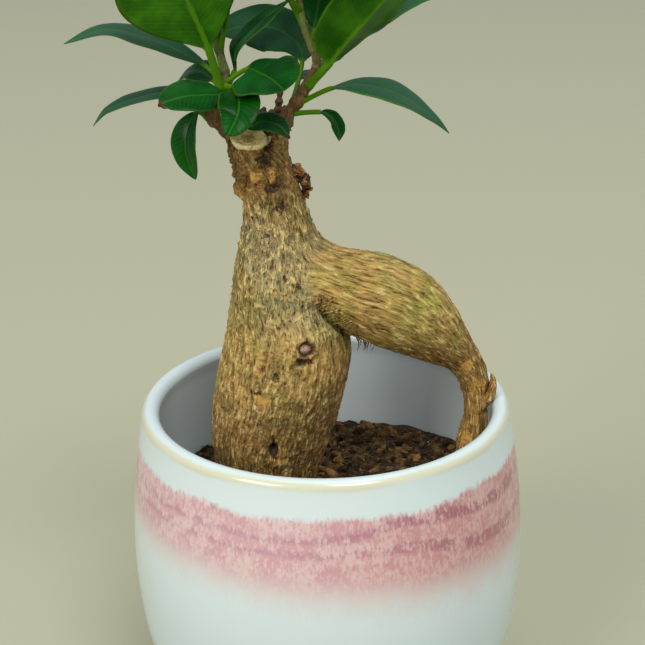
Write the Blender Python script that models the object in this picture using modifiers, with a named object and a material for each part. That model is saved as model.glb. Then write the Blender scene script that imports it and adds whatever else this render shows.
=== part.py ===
"""Potted ginseng ficus: a grafted fig on a swollen two-legged root, planted in a glazed barrel-shaped pot.

Frame: origin at the centre of the pot's flat foot, +Z up. The arched side root reaches out along +X.
"""

import math

import bmesh
import bpy
import numpy as np
from mathutils import Vector

MM = 0.001
GAP = 0.3 * MM  # clearance between pieces that touch in the real plant

# Pot: a turned barrel with a rounded lip and a flat foot.
POT_HEIGHT = 118 * MM
LIP_RADIUS = 62 * MM
LIP_THICKNESS = 6 * MM
WALL = 5.5 * MM
FLOOR = 7 * MM
FOOT_RADIUS = 44 * MM
FOOT_ROUNDING = 5 * MM
BELLY = [(17, 58.2), (35, 64.0), (52, 66.3), (68, 66.9), (86, 66.0), (102, 64.0), (112, 62.4)]  # height, radius in mm
POT_SEGMENTS = 48

# Growing medium: a low mound, its edge nearly 40 mm under the lip.
SOIL_EDGE_Z = 79.5 * MM
SOIL_CROWN_Z = 83 * MM

# Swollen root and trunk: x, y, z of the axis and the radius there, in mm.
CAUDEX = [
    (-20, 0, 76, 9.0), (-20.5, 0, 82, 13.5), (-20.5, 0, 90, 16.4), (-20, 0, 100, 18.6), (-17.6, 0, 112, 20.6),
    (-14.4, 0, 126, 21.2), (-11.8, 0, 140, 20.8), (-12.4, 0, 151, 18.6), (-13.4, 0, 161, 16.2), (-14, 0, 171, 13.6),
    (-14.6, 0, 180, 11.4), (-15.9, 0, 188, 9.9), (-18, 0, 196, 9.3), (-20, -0.5, 203, 9.1), (-21.1, -2, 209, 9.2),
]
SIDE_ROOT = [
    (-8, -2, 163, 8.5), (-1, -4, 162.5, 10.6), (8, -4, 158.8, 13.2), (18, -2, 154.4, 14.6), (26.2, 0, 149.6, 14.2),
    (33.4, 1, 143.8, 11.8), (39.6, 2, 137.6, 8.9), (44.4, 3, 131.8, 7.0), (48.4, 3, 125.8, 5.5), (50.2, 3, 120.4, 4.7),
    (50.6, 2, 113, 4.2), (50, 2, 105, 4.4), (48.6, 1, 96, 4.8), (47.2, 0, 88, 5.4), (46, 0, 78, 4.2),
]
REMESH_SIZE = 3.7 * MM

# Two grafted shoots: x, y, z and radius in mm, from the trunk's cut top upwards.
SHOOTS = {
    "shoot_left": [
        (-28.1, -2, 208.7, 2.9), (-31, -4, 211.9, 3), (-33.6, -5, 215.7, 3), (-33.7, -5, 219.2, 2.7),
        (-31.8, -4, 222.4, 2.2), (-29.9, -3, 225.6, 1.8), (-29.5, -2, 229.7, 1.5), (-30.6, -1, 234.2, 1.4),
        (-31.4, 0, 239, 1.3), (-31.8, 1, 244.9, 1.2), (-31.6, 2, 251.5, 1.15), (-31, 3, 259.5, 1),
        (-30.2, 3.5, 268, 0.85), (-29.8, 4, 275, 0.7),
    ],
    "shoot_right": [
        (-12.1, 2, 211.3, 3), (-10.7, 3, 214.2, 2.8), (-9.1, 3, 217.1, 2.6), (-6.8, 3, 220.3, 2.3),
        (-4.6, 3, 223.8, 2), (-2.6, 3, 226.9, 1.8), (-1, 3, 230.3, 1.6), (-1.3, 3, 233.5, 1.4),
        (-2.8, 3, 237, 1.25), (-4.2, 3, 241, 1.2), (-5.4, 3, 245.7, 1.15), (-6.2, 4, 250.7, 1.1),
        (-7.3, 5, 258.5, 1), (-8, 5, 268, 0.85), (-8.6, 5.5, 277, 0.7),
    ],
}
BUD_LENGTH = 10 * MM
DRY_TWIG = [(-14.2, 6.5, 211.8, 1.3), (-13.4, 7, 216.5, 1.2), (-13, 7.2, 220.5, 1.0), (-12.6, 7.4, 224.6, 0.7)]
BUD_SCALES = [(-8.2, 0, 198.2, 0.8), (-6, 0.5, 195.8, 2.0), (-4.2, 0.5, 192.6, 2.3), (-3.2, 0, 189.6, 1.1)]

# Leaves: the shoot each grows on, how far up it (0 to 1), the midrib from the blade's base to its tip in mm, which way
# the upper side faces, the greatest half width in mm, how far the margins rise in degrees, the stalk's radius in mm.
LEAVES = {
    "leaf_front_left_tall": ("shoot_left", 0.29, [(-33.7, -8, 238.2), (-37.2, -12, 249), (-42, -16, 261),
        (-48.5, -20, 272.5), (-56.5, -24, 282)], (-0.2, 0.97, 0.1), 19.5, 6, 1.5),
    "leaf_left_long": ("shoot_left", 0.32, [(-35.5, 2, 231.1), (-46.2, 6, 235.4), (-56.8, 8, 238.9),
        (-67.3, 8, 240.8), (-79.8, 6, 237)], (0.1, -0.1, 0.98), 8.8, 8, 0.9),
    "leaf_left_low": ("shoot_left", 0.22, [(-36.3, 3, 222.1), (-45.9, 5, 222.7), (-55, 4, 221.5),
        (-64.4, 2, 218), (-72.7, 0, 212.2)], (-0.1, -0.08, 0.98), 6.8, 6, 0.9),
    "leaf_left_torn": ("shoot_left", 0.27, [(-29, -9, 224.5), (-35.1, -13, 225.5), (-41.5, -16, 225.7),
        (-48.8, -20, 224.4)], (-0.05, -0.55, 0.82), 7.5, 8, 1),
    "leaf_left_behind": ("shoot_left", 0.28, [(-33.5, 6, 225.4), (-38.2, 12, 227.4), (-42.4, 16, 226.4),
        (-45.9, 19, 222.8)], (-0.1, -0.35, 0.92), 6.4, 8, 0.9),
    "leaf_left_hanging": ("shoot_left", 0.15, [(-38, -7, 218.8), (-40.9, -10, 215.2), (-41.9, -12, 208),
        (-39.3, -12, 198.7)], (-0.62, -0.62, 0.42), 6, 16, 0.9),
    "leaf_front_fold": ("shoot_left", 0.31, [(-26.8, -9, 226.6), (-24.8, -18, 226.2), (-24.7, -25, 222.5),
        (-27.8, -27, 216.4)], (0.05, -0.55, 0.83), 6.6, 12, 1),
    "leaf_centre_round": ("shoot_left", 0.33, [(-24.6, -5, 232), (-19.8, -11, 231.8), (-15.1, -18, 231),
        (-10.8, -24, 229.2)], (0.1, -0.72, 0.68), 12, 6, 0.9),
    "leaf_back_arch": ("shoot_right", 0.12, [(-5.7, 9, 230.4), (-7.4, 13, 236), (-14.2, 16, 239.6),
        (-23.8, 16, 240.6), (-31.9, 14, 238.8)], (0.12, -0.55, 0.83), 11, 6, 0.9),
    "leaf_centre_narrow": ("shoot_left", 0.29, [(-26.7, -1, 229.8), (-25.8, -1, 237.2), (-19.6, 2, 243.3),
        (-8.4, 8, 250.7)], (-0.45, -0.25, 0.86), 6, 12, 1),
    "leaf_edge_on": ("shoot_left", 0.47, [(-29.6, -1.5, 241.4), (-27.9, -1.5, 248.4), (-26.8, -2.5, 260),
        (-24.5, -4, 274)], (-0.97, 0.1, 0.2), 7, 14, 1),
    "leaf_right_inner": ("shoot_right", 0.58, [(-8, 0, 250.7), (-11.5, -5, 257), (-16.5, -10, 265),
        (-22, -14, 270)], (-0.2, 0.4, 0.9), 8, 10, 1),
    "leaf_right_dark": ("shoot_right", 0.44, [(-1.8, 6, 240.7), (-0.4, 9, 247.3), (2.5, 11, 262),
        (5.5, 13, 274)], (-0.35, -0.75, 0.56), 9.5, 12, 1),
    "leaf_right_tall": ("shoot_right", 0.22, [(3.3, -1, 232.4), (7.5, -3, 237.4), (13, -6, 243.5),
        (24.5, -10, 257), (34, -14, 269)], (-0.51, 0.67, 0.53), 15, 20, 1.4),
    "leaf_right_far": ("shoot_right", 0.29, [(4.1, 9, 234), (12.8, 13, 240.7), (23, 16, 246.2),
        (33.2, 18, 249.5), (43.3, 18, 249)], (-0.2, -0.25, 0.95), 9, 8, 1),
    "leaf_right_long": ("shoot_right", 0.14, [(3.2, 0, 223.1), (11.6, -2, 224.2), (20.8, -4, 222.5),
        (30, -6, 218), (39.7, -7, 209.7)], (0.15, -0.1, 0.98), 10, 6, 0.9),
    "leaf_right_small": ("shoot_right", 0.08, [(-0.3, 1, 216.2), (2.8, 0, 215.3), (4.9, -1, 212.6),
        (5.6, -3, 207.8)], (0.62, -0.4, 0.67), 3.9, 14, 0.9),
    "leaf_collar": ("shoot_left", 0.27, [(-23.2, -11.5, 215.6), (-17.4, -13.3, 216.8), (-13.4, -14.3, 216),
        (-10.4, -16, 212)], (0.15, -0.3, 0.94), 5, 8, 0.8),
    "leaf_small_behind": ("shoot_right", 0.22, [(-2.7, 11, 225.1), (-5.6, 15, 224.6), (-8.8, 18, 223.3),
        (-12.5, 20, 220.3)], (-0.1, -0.2, 0.97), 5.2, 8, 0.8),
    "leaf_left_top": ("shoot_left", 0.8, [(-38, 3, 267), (-48, 3, 273), (-58, 2, 273), (-68, 0, 267)],
        (0, -0.1, 1), 9, 10, 1),
    "leaf_left_back_top": ("shoot_left", 0.7, [(-35, 14, 262), (-38, 26, 268), (-41, 38, 268), (-43, 48, 262)],
        (0, -0.2, 0.98), 10, 10, 1),
    "leaf_left_crown": ("shoot_left", 0.92, [(-28, 1, 280), (-24, -2, 288), (-17, -6, 293), (-9, -10, 293)],
        (-0.5, 0.4, 0.75), 9.5, 12, 0.9),
    "leaf_left_top_front": ("shoot_left", 0.86, [(-28, -5, 271), (-22, -12, 279), (-16, -21, 282), (-12, -29, 279)],
        (-0.1, 0.1, 0.98), 7.5, 12, 1),
    "leaf_left_back_low": ("shoot_left", 0.42, [(-36, 14, 241), (-41, 24, 244), (-47, 34, 242), (-52, 43, 235)],
        (0, -0.2, 0.98), 9, 8, 1),
    "leaf_right_top": ("shoot_right", 0.8, [(0, 5, 269), (10, 4, 276), (20, 2, 279), (30, 0, 276)],
        (0.1, -0.1, 1), 9, 10, 1),
    "leaf_right_back_top": ("shoot_right", 0.74, [(-6, 18, 268), (-4, 29, 272), (-1, 41, 271), (2, 51, 265)],
        (0, -0.2, 0.98), 10, 10, 1),
    "leaf_right_crown": ("shoot_right", 0.94, [(-10, 11, 281), (-13, 18, 288), (-18, 25, 293), (-25, 31, 294)],
        (0.3, -0.5, 0.8), 9.5, 12, 0.9),
    "leaf_right_top_front": ("shoot_right", 0.88, [(-3, -2, 276), (2, -9, 284), (8, -17, 288), (15, -24, 286)],
        (0.1, 0.1, 0.98), 9.5, 12, 1),
    "leaf_back_middle": ("shoot_right", 0.5, [(-13, 16, 256), (-18, 25, 259), (-23, 35, 257), (-27, 44, 250)],
        (0, -0.1, 0.99), 8, 8, 1),
}
LEAF_THICKNESS = 0.6 * MM
STALK_STATIONS = 3
BLADE_STATIONS = 9


def smooth_line(points, steps):
    """Catmull-Rom curve through rows of numbers, with this many steps between neighbours."""
    rows = np.array(points, float)
    padded = np.vstack([2 * rows[0] - rows[1], rows, 2 * rows[-1] - rows[-2]])
    t = np.linspace(0, 1, steps, endpoint=False)[:, None]
    line = []
    for a, b, c, d in zip(padded, padded[1:], padded[2:], padded[3:]):
        line.append(0.5 * (2 * b + (c - a) * t + (2 * a - 5 * b + 4 * c - d) * t**2 + (3 * b - a - 3 * c + d) * t**3))
    return np.vstack([*line, rows[-1:]])


def arc(centre, radius, start, end, steps):
    """Points on an arc in the X-Z plane, angles in degrees."""
    angles = np.radians(np.linspace(start, end, steps + 1))
    return [(centre[0] + radius * math.cos(a), centre[1] + radius * math.sin(a)) for a in angles]


def clear_scene():
    for obj in list(bpy.data.objects):
        bpy.data.objects.remove(obj, do_unlink=True)


def collection(name):
    made = bpy.data.collections.new(name)
    bpy.context.scene.collection.children.link(made)
    return made


def material(name, colour, roughness):
    made = bpy.data.materials.new(name)
    made.use_nodes = True
    shader = made.node_tree.nodes["Principled BSDF"]
    shader.inputs["Base Color"].default_value = (*colour, 1)
    shader.inputs["Roughness"].default_value = roughness
    shader.inputs["Metallic"].default_value = 0
    return made


def add_object(name, data, group, finish):
    obj = bpy.data.objects.new(name, data)
    group.objects.link(obj)
    data.materials.append(finish)
    return obj


def turned(name, profile, group, finish):
    """A profile of (radius, height) pairs, from axis to axis, turned about Z with a Screw modifier."""
    mesh = bpy.data.meshes.new(name)
    edges = [(i, i + 1) for i in range(len(profile) - 1)]
    mesh.from_pydata([(r, 0, z) for r, z in profile], edges, [])
    obj = add_object(name, mesh, group, finish)
    screw = obj.modifiers.new("turn", "SCREW")
    screw.steps = screw.render_steps = POT_SEGMENTS
    screw.use_merge_vertices = True
    screw.merge_threshold = 0.00001
    screw.use_smooth_shade = True
    return obj


def tube(name, rows, steps, sides, group, finish):
    """A round tube along rows of x, y, z and radius in mm, as a curve with filled caps."""
    line = smooth_line(rows, steps)
    curve = bpy.data.curves.new(name, "CURVE")
    curve.dimensions = "3D"
    curve.bevel_depth = MM
    curve.bevel_resolution = (sides - 4) // 2
    curve.use_fill_caps = True
    spline = curve.splines.new("POLY")
    spline.points.add(len(line) - 1)
    for point, (x, y, z, radius) in zip(spline.points, line):
        point.co = (x * MM, y * MM, z * MM, 1)
        point.radius = radius
    return add_object(name, curve, group, finish)


def as_welded_mesh(curve_obj):
    """The curve's evaluated shape as a mesh with its caps welded on. The curve is removed."""
    graph = bpy.context.evaluated_depsgraph_get()
    mesh = bpy.data.meshes.new_from_object(curve_obj.evaluated_get(graph))
    work = bmesh.new()
    work.from_mesh(mesh)
    work.transform(curve_obj.matrix_world)
    bmesh.ops.remove_doubles(work, verts=work.verts, dist=0.00001)
    bpy.data.objects.remove(curve_obj, do_unlink=True)
    return work, mesh


def outer_radius():
    """The pot's outer wall from the foot to the lip, as (radius, height) pairs in metres."""
    wall = [(FOOT_RADIUS / MM + 3.2, 1.6)] + [(r, z) for z, r in BELLY]
    return smooth_line(wall, 2) * MM


def inner_wall():
    """The pot's inner wall from the floor to the lip, as (radius, height) pairs."""
    points = outer_radius()
    inside = [(r - WALL, z) for r, z in points if z > FLOOR + 10 * MM]
    corner = inside[0][0]
    return [(corner - 14 * MM, FLOOR), (corner - 6 * MM, FLOOR + 2.6 * MM), *inside]


def make_pot(group, finish):
    lip = LIP_THICKNESS / 2
    lip_centre = (LIP_RADIUS - lip, POT_HEIGHT - lip)
    inner = [(0, FLOOR), *inner_wall()]
    rounding = arc(lip_centre, lip, 180, 0, 6)
    outer = [(r, z) for r, z in outer_radius()[::-1]]
    profile = [*inner, *rounding, *outer, (FOOT_RADIUS, 0), (0, 0)]
    return turned("pot", profile, group, finish)


def make_caudex(name, group, finish, growth=0.0):
    """Trunk and side root as one grown piece: two tapering tubes fused by a voxel remesh, then smoothed."""
    whole = bmesh.new()
    for label, rows in (("trunk", CAUDEX), ("side_root", SIDE_ROOT)):
        work, mesh = as_welded_mesh(tube(label, rows, 3, 20, group, finish))
        work.to_mesh(mesh)
        whole.from_mesh(mesh)
        work.free()
    mesh = bpy.data.meshes.new(name)
    whole.to_mesh(mesh)
    whole.free()
    obj = add_object(name, mesh, group, finish)
    remesh = obj.modifiers.new("fuse", "REMESH")
    remesh.mode = "VOXEL"
    remesh.voxel_size = REMESH_SIZE
    remesh.use_smooth_shade = True
    relax = obj.modifiers.new("relax", "SMOOTH")
    relax.factor = 0.5
    relax.iterations = 3
    if growth:
        swell = obj.modifiers.new("swell", "DISPLACE")
        swell.direction = "NORMAL"
        swell.mid_level = 0
        swell.strength = growth
    return obj


def make_soil(group, helpers, finish):
    """The medium fills the pot to a low mound, with a pocket that the roots stand in."""
    wall = np.array(inner_wall())
    edge_radius = np.interp(SOIL_EDGE_Z, wall[:, 1], wall[:, 0]) - GAP
    side = [(r - GAP, z + GAP) for r, z in wall if z < SOIL_EDGE_Z - 2 * MM]
    drop = SOIL_CROWN_Z - SOIL_EDGE_Z
    top = [(edge_radius * t, SOIL_EDGE_Z + drop * math.cos(t * math.pi / 2)) for t in np.linspace(0, 1, 6)]
    soil = turned("soil", [*top, *side[::-1], (0, FLOOR + GAP)], group, finish)
    pocket = make_caudex("root_pocket", helpers, finish, growth=2 * GAP)
    pocket.hide_render = True
    pocket.display_type = "WIRE"
    cut = soil.modifiers.new("pocket", "BOOLEAN")
    cut.operation = "DIFFERENCE"
    cut.object = pocket
    return soil


def shoot_point(shoot, at):
    """Place, direction and radius on a shoot's axis at a share of its length, in metres."""
    line = smooth_line(SHOOTS[shoot], 8) * MM
    lengths = np.concatenate([[0], np.cumsum(np.linalg.norm(np.diff(line[:, :3], axis=0), axis=1))])
    where = at * lengths[-1]
    row = np.array([np.interp(where, lengths, line[:, k]) for k in range(4)])
    ahead = np.array([np.interp(where + MM, lengths, line[:, k]) for k in range(3)])
    behind = np.array([np.interp(where - MM, lengths, line[:, k]) for k in range(3)])
    along = (ahead - behind) / np.linalg.norm(ahead - behind)
    return row[:3], along, row[3]


def leaf_half_width(share, half):
    """Half width of an egg-shaped blade with a short drawn-out tip, at a share of its length."""
    return half * math.sin(math.pi * min(share, 0.97) ** 0.94) ** 1.05


def leaf_stations(shoot, at, midrib, face, half, stalk):
    """Cross-sections from the stalk's foot to the blade's tip: place, sideways, up, half width and half thickness."""
    start, along, radius = shoot_point(shoot, at)
    blade_base = np.array(midrib[0]) * MM
    out = blade_base - start
    lean = abs(out @ along) / np.linalg.norm(out)
    out = out - along * (out @ along)
    foot = start + out / np.linalg.norm(out) * (radius + GAP + stalk * lean)
    line = smooth_line([foot / MM, *midrib], 12) * MM
    lengths = np.concatenate([[0], np.cumsum(np.linalg.norm(np.diff(line, axis=0), axis=1))])
    stalk_length = lengths[12]
    blade_length = lengths[-1] - stalk_length
    wheres = np.concatenate([np.linspace(0, 0.85, STALK_STATIONS) * stalk_length,
                             stalk_length + np.linspace(0.02, 1, BLADE_STATIONS) * blade_length])
    stations = []
    for where in wheres:
        place, ahead, behind = (np.array([np.interp(where + step, lengths, line[:, k]) for k in range(3)])
                                for step in (0, 0.5 * MM, -0.5 * MM))
        forward = (ahead - behind) / np.linalg.norm(ahead - behind)
        side = np.cross(forward, face)
        side /= np.linalg.norm(side)
        up = np.cross(side, forward)
        share = (where - stalk_length) / blade_length
        if share > 0:
            stations.append((place, side, up, max(leaf_half_width(share, half), stalk), LEAF_THICKNESS / 2))
        else:
            stations.append((place, side, up, stalk, stalk * 0.9))
    place, side, up, _, thick = stations[-1]
    stations[-1] = (place, side, up, 0.4 * MM, thick * 0.8)
    return stations


def make_leaf(name, row, group, finish):
    """A leaf with its stalk as one loft: six-sided sections that pass from a round stalk to a thin folded blade."""
    shoot, at, midrib, face, half, fold, stalk = row
    rise = math.radians(fold)
    work = bmesh.new()
    rings = []
    for place, side, up, wide, thick in leaf_stations(shoot, at, midrib, face, half * MM, stalk * MM):
        lift = up * wide * math.sin(rise) * (wide > 2 * stalk * MM)
        right = side * wide * math.cos(rise) + lift
        left = -side * wide * math.cos(rise) + lift
        section = (right, right * 0.5 + up * thick, left * 0.5 + up * thick, left, left * 0.5 - up * thick,
                   right * 0.5 - up * thick)
        rings.append([work.verts.new(Vector(place + offset)) for offset in section])
    for low, high in zip(rings, rings[1:]):
        for i in range(6):
            j = (i + 1) % 6
            work.faces.new((low[i], low[j], high[j], high[i]))
    work.faces.new(rings[0])
    work.faces.new(rings[-1])
    bmesh.ops.recalc_face_normals(work, faces=work.faces)
    mesh = bpy.data.meshes.new(name)
    work.to_mesh(mesh)
    work.free()
    return add_object(name, mesh, group, finish)


def make_bud(shoot, group, finish):
    """The pointed sheath that closes over a shoot's growing tip."""
    tip, along, radius = shoot_point(shoot, 1)
    rows = []
    for share, swell in ((0, 0.9), (0.2, 1.15), (0.55, 0.8), (0.85, 0.4), (1, 0.12)):
        place = (tip + along * (GAP + share * BUD_LENGTH)) / MM
        rows.append((*place, swell * radius / MM))
    return tube(shoot.replace("shoot", "bud"), rows, 1, 8, group, finish)


def main():
    clear_scene()
    group = collection("potted_ginseng_ficus")
    helpers = collection("cutters")
    glaze = material("glazed_stoneware", (0.80, 0.84, 0.84), 0.15)
    medium = material("growing_medium", (0.12, 0.07, 0.04), 0.95)
    bark = material("root_bark", (0.42, 0.30, 0.15), 0.75)
    twig = material("shoot_bark", (0.20, 0.16, 0.07), 0.7)
    green = material("leaf_green", (0.03, 0.17, 0.03), 0.35)
    sheath = material("bud_sheath", (0.30, 0.42, 0.12), 0.5)
    make_pot(group, glaze)
    make_soil(group, helpers, medium)
    make_caudex("root_and_trunk", group, bark)
    for name, rows in SHOOTS.items():
        tube(name, rows, 1, 8, group, twig)
        make_bud(name, group, sheath)
    tube("dry_twig", DRY_TWIG, 2, 8, group, twig)
    tube("dry_bud_scales", BUD_SCALES, 2, 8, group, twig)
    for name, row in LEAVES.items():
        make_leaf(name, row, group, green)


main()
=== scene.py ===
# Potted ginseng ficus: the looks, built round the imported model. Sizes in the tables are in millimetres.
import math

import bpy
import numpy as np
from mathutils import Matrix


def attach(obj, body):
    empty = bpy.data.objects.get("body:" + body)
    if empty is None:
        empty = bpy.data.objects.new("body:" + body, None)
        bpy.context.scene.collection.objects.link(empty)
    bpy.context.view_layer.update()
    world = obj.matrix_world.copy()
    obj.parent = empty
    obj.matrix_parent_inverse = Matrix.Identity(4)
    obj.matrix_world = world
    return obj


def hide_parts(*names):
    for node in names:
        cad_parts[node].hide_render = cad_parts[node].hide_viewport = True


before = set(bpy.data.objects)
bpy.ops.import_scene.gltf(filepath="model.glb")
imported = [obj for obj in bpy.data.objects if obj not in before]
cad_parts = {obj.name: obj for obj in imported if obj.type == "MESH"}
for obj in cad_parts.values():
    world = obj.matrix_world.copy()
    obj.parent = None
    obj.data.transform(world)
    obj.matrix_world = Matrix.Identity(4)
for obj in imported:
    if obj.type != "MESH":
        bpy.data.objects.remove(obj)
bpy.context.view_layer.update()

mm = 0.001


# Numbers and curves

def srgb(red, green, blue):
    # a 0-255 screen colour as linear light: ((c + 0.055) / 1.055) to the power 2.4
    screen = np.array([red, green, blue]) / 255
    return (*np.where(screen > 0.04, ((screen + 0.055) / 1.055) ** 2.4, screen / 12.92), 1.0)


def unit(vectors):
    # every vector divided by its own length
    return vectors / np.maximum(np.linalg.norm(vectors, axis=-1, keepdims=True), 1e-12)


def ease(values, low, high):
    # the smooth step 3t² - 2t³, where t runs from 0 at low to 1 at high
    t = np.clip((values - low) / (high - low), 0, 1)
    return t * t * (3 - 2 * t)


def bell(values, wide):
    # the bell curve exp(-(v / wide)²)
    return np.exp(-(values / wide) ** 2)


def valueNoise(points, size, seed=0):
    # random numbers on the corners of a lattice with cells of this size, eased from corner to corner: -1 to 1
    place = np.asarray(points, float) / size + 500.5
    cell = np.floor(place).astype(np.int64)
    part = place - cell
    part = part * part * (3 - 2 * part)
    total = np.zeros(part.shape[:-1])
    for corner in range(8):
        step = np.array([corner & 1, corner >> 1 & 1, corner >> 2 & 1])
        key = (cell + step) @ np.array([73856093, 19349663, 83492791]) + seed * 7919
        key = (key ^ (key >> 13)) * 1274126177 & 0x7FFFFFFF
        key = (key ^ (key >> 16)) * 668265263 & 0x7FFFFFFF
        total += np.prod(np.where(step, part, 1 - part), axis=-1) * (key / 0x3FFFFFFF - 1)
    return total


def roughNoise(points, size, seed=0, octaves=3):
    # value noise summed over octaves, each half the size and half the strength of the one before
    levels = [valueNoise(points, np.asarray(size) / 2**k, seed + k) / 2**k for k in range(octaves)]
    return sum(levels) / (2 - 2 ** (1 - octaves))


def smoothLine(rows, steps):
    # Catmull-Rom curve: a cubic through the rows, whose slope at a row is half the step between its neighbours
    rows = np.asarray(rows, float)
    ends = np.vstack([2 * rows[0] - rows[1], rows, 2 * rows[-1] - rows[-2]])
    t = np.linspace(0, 1, steps, endpoint=False)[None, :, None]
    a, b, c, d = (ends[k:len(ends) - 3 + k, None, :] for k in range(4))
    curve = 0.5 * (2 * b + (c - a) * t + (2 * a - 5 * b + 4 * c - d) * t**2 + (3 * b - a - 3 * c + d) * t**3)
    return np.vstack([curve.reshape(-1, rows.shape[1]), rows[-1:]])


def lengthsAlong(line):
    # distance from the line's start to each of its points
    return np.concatenate([[0], np.cumsum(np.linalg.norm(np.diff(line[:, :3], axis=0), axis=1))])


def readLine(line, where):
    # every column of the line, interpolated at these distances along it
    lengths = lengthsAlong(line)
    return np.stack([np.interp(where, lengths, column) for column in line.T], axis=-1)


def framesAlong(line, face):
    # forward is the line's slope, across is forward x face, and up is across x forward; one line or many
    forward = unit(np.gradient(line[..., :3], axis=-2))
    across = unit(np.cross(forward, face))
    return forward, across, np.cross(across, forward)


# Meshes

def addPiece(name, points, faces, paint, nodes=(), fields=None, flat=False):
    # writes a mesh from whole arrays; faces that make a negative volume are turned round
    triangles = np.concatenate([f[:, [0, k, k + 1]] for f in faces for k in range(1, f.shape[1] - 1)])
    a, b, c = (points[triangles[:, k]] for k in range(3))
    if np.sum(a * np.cross(b, c)) < 0:
        faces = [f[:, ::-1] for f in faces]
    corners = np.concatenate([f.ravel() for f in faces])
    sizes = np.concatenate([np.full(len(f), f.shape[1]) for f in faces])
    mesh = bpy.data.meshes.new(name)
    mesh.vertices.add(len(points))
    mesh.vertices.foreach_set("co", points.astype(np.float32).ravel())
    mesh.loops.add(len(corners))
    mesh.loops.foreach_set("vertex_index", corners.astype(np.int32))
    mesh.polygons.add(len(sizes))
    mesh.polygons.foreach_set("loop_start", (np.cumsum(sizes) - sizes).astype(np.int32))
    mesh.polygons.foreach_set("use_smooth", np.full(len(sizes), not flat))
    mesh.update(calc_edges=True)
    for label, values in (fields or {}).items():
        addField(mesh, label, values)
    return dress(bpy.data.objects.new(name, mesh), paint, nodes)


def addField(mesh, label, values):
    # a number or a vector at every point, which the materials read by name
    kind, key = ("FLOAT_VECTOR", "vector") if values.ndim == 2 else ("FLOAT", "value")
    mesh.attributes.new(label, kind, "POINT").data.foreach_set(key, values.astype(np.float32).ravel())


def dress(piece, paint, nodes=()):
    # puts a piece in the scene with its finish and body, and hides the nodes that it stands for
    bpy.context.scene.collection.objects.link(piece)
    piece.data.materials.append(paint.material)
    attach(piece, "root")
    if nodes:
        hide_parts(*nodes)
    return piece


def tubeFaces(rows, columns):
    # a pole, then rings, then a pole: quads between neighbouring rings and a fan onto each pole
    ring = np.arange(rows * columns).reshape(rows, columns) + 1
    low, high = ring[:-1], ring[1:]
    quads = np.stack([low, high, np.roll(high, -1, 1), np.roll(low, -1, 1)], -1).reshape(-1, 4)
    first = np.stack([np.zeros(columns, int), ring[0], np.roll(ring[0], -1)], -1)
    last = np.stack([np.full(columns, rows * columns + 1), np.roll(ring[-1], -1), ring[-1]], -1)
    return [quads, np.concatenate([first, last])]


def addTubes(name, rings, paint, nodes=(), fields=None, flat=False):
    # one tube (ring, place round it, xyz) or several, in mm; each end closes onto the middle of its end ring.
    # A field of the rings' own shape is a vector in mm, and any other is a number that spreads over the rings
    shape = rings.shape
    rings = rings.reshape(-1, *shape[-3:])
    count, rows, columns = rings.shape[:3]

    def closed(values):
        # the values of every tube in turn: its first pole, its rings, its last pole
        values = values.reshape(count, rows, columns, -1)
        ends = [values[:, k].mean(axis=1, keepdims=True) for k in (0, -1)]
        body = values.reshape(count, rows * columns, -1)
        return np.concatenate([ends[0], body, ends[1]], axis=1).reshape(-1, values.shape[-1])

    starts = np.arange(count)[:, None, None] * (rows * columns + 2)
    faces = [(f[None] + starts).reshape(-1, f.shape[1]) for f in tubeFaces(rows, columns)]
    flatFields = {}
    for label, values in (fields or {}).items():
        if np.shape(values) == shape:
            flatFields[label] = closed(values) * mm
        else:
            flatFields[label] = closed(np.broadcast_to(values, rings.shape[:3]))[:, 0]
    return addPiece(name, closed(rings) * mm, faces, paint, nodes, flatFields, flat)


def sweep(line, face, sides):
    # rings of radius r round a line of x, y, z, r rows: centre + r (cos t across + sin t up)
    _, across, up = framesAlong(line, face)
    turn = np.linspace(0, 2 * np.pi, sides, endpoint=False)[:, None]
    spoke = np.cos(turn) * across[..., None, :] + np.sin(turn) * up[..., None, :]
    return line[..., None, :3] + line[..., None, 3:4] * spoke


def swell(line, rings, factor):
    # rings grown about the line that they go round: centre + factor (ring - centre)
    centre = line[:, None, :3]
    return centre + (rings - centre) * factor


def turnProfile(profile, segments):
    # a profile of radius and height rows, turned about Z: (r cos t, -r sin t, z)
    turn = np.linspace(0, 2 * np.pi, segments, endpoint=False)
    radius, height = profile[:, :1], profile[:, 1:]
    return np.stack([radius * np.cos(turn), -radius * np.sin(turn), height + 0 * turn], axis=-1)


# Materials

class Level:
    # a value that changes over a surface; sums and products of levels add Math nodes
    def __init__(self, paint, socket):  # the material and the socket that gives the value
        self.paint = paint
        self.socket = socket

    def __add__(self, other):  # this + other
        return self.paint.maths("ADD", self, other)

    def __sub__(self, other):  # this - other
        return self.paint.maths("SUBTRACT", self, other)

    def __rsub__(self, other):  # other - this
        return self.paint.maths("SUBTRACT", other, self)

    def __mul__(self, other):  # this times other
        return self.paint.maths("MULTIPLY", self, other)

    def __truediv__(self, other):  # this over other
        return self.paint.maths("DIVIDE", self, other)

    __radd__ = __add__
    __rmul__ = __mul__


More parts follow.
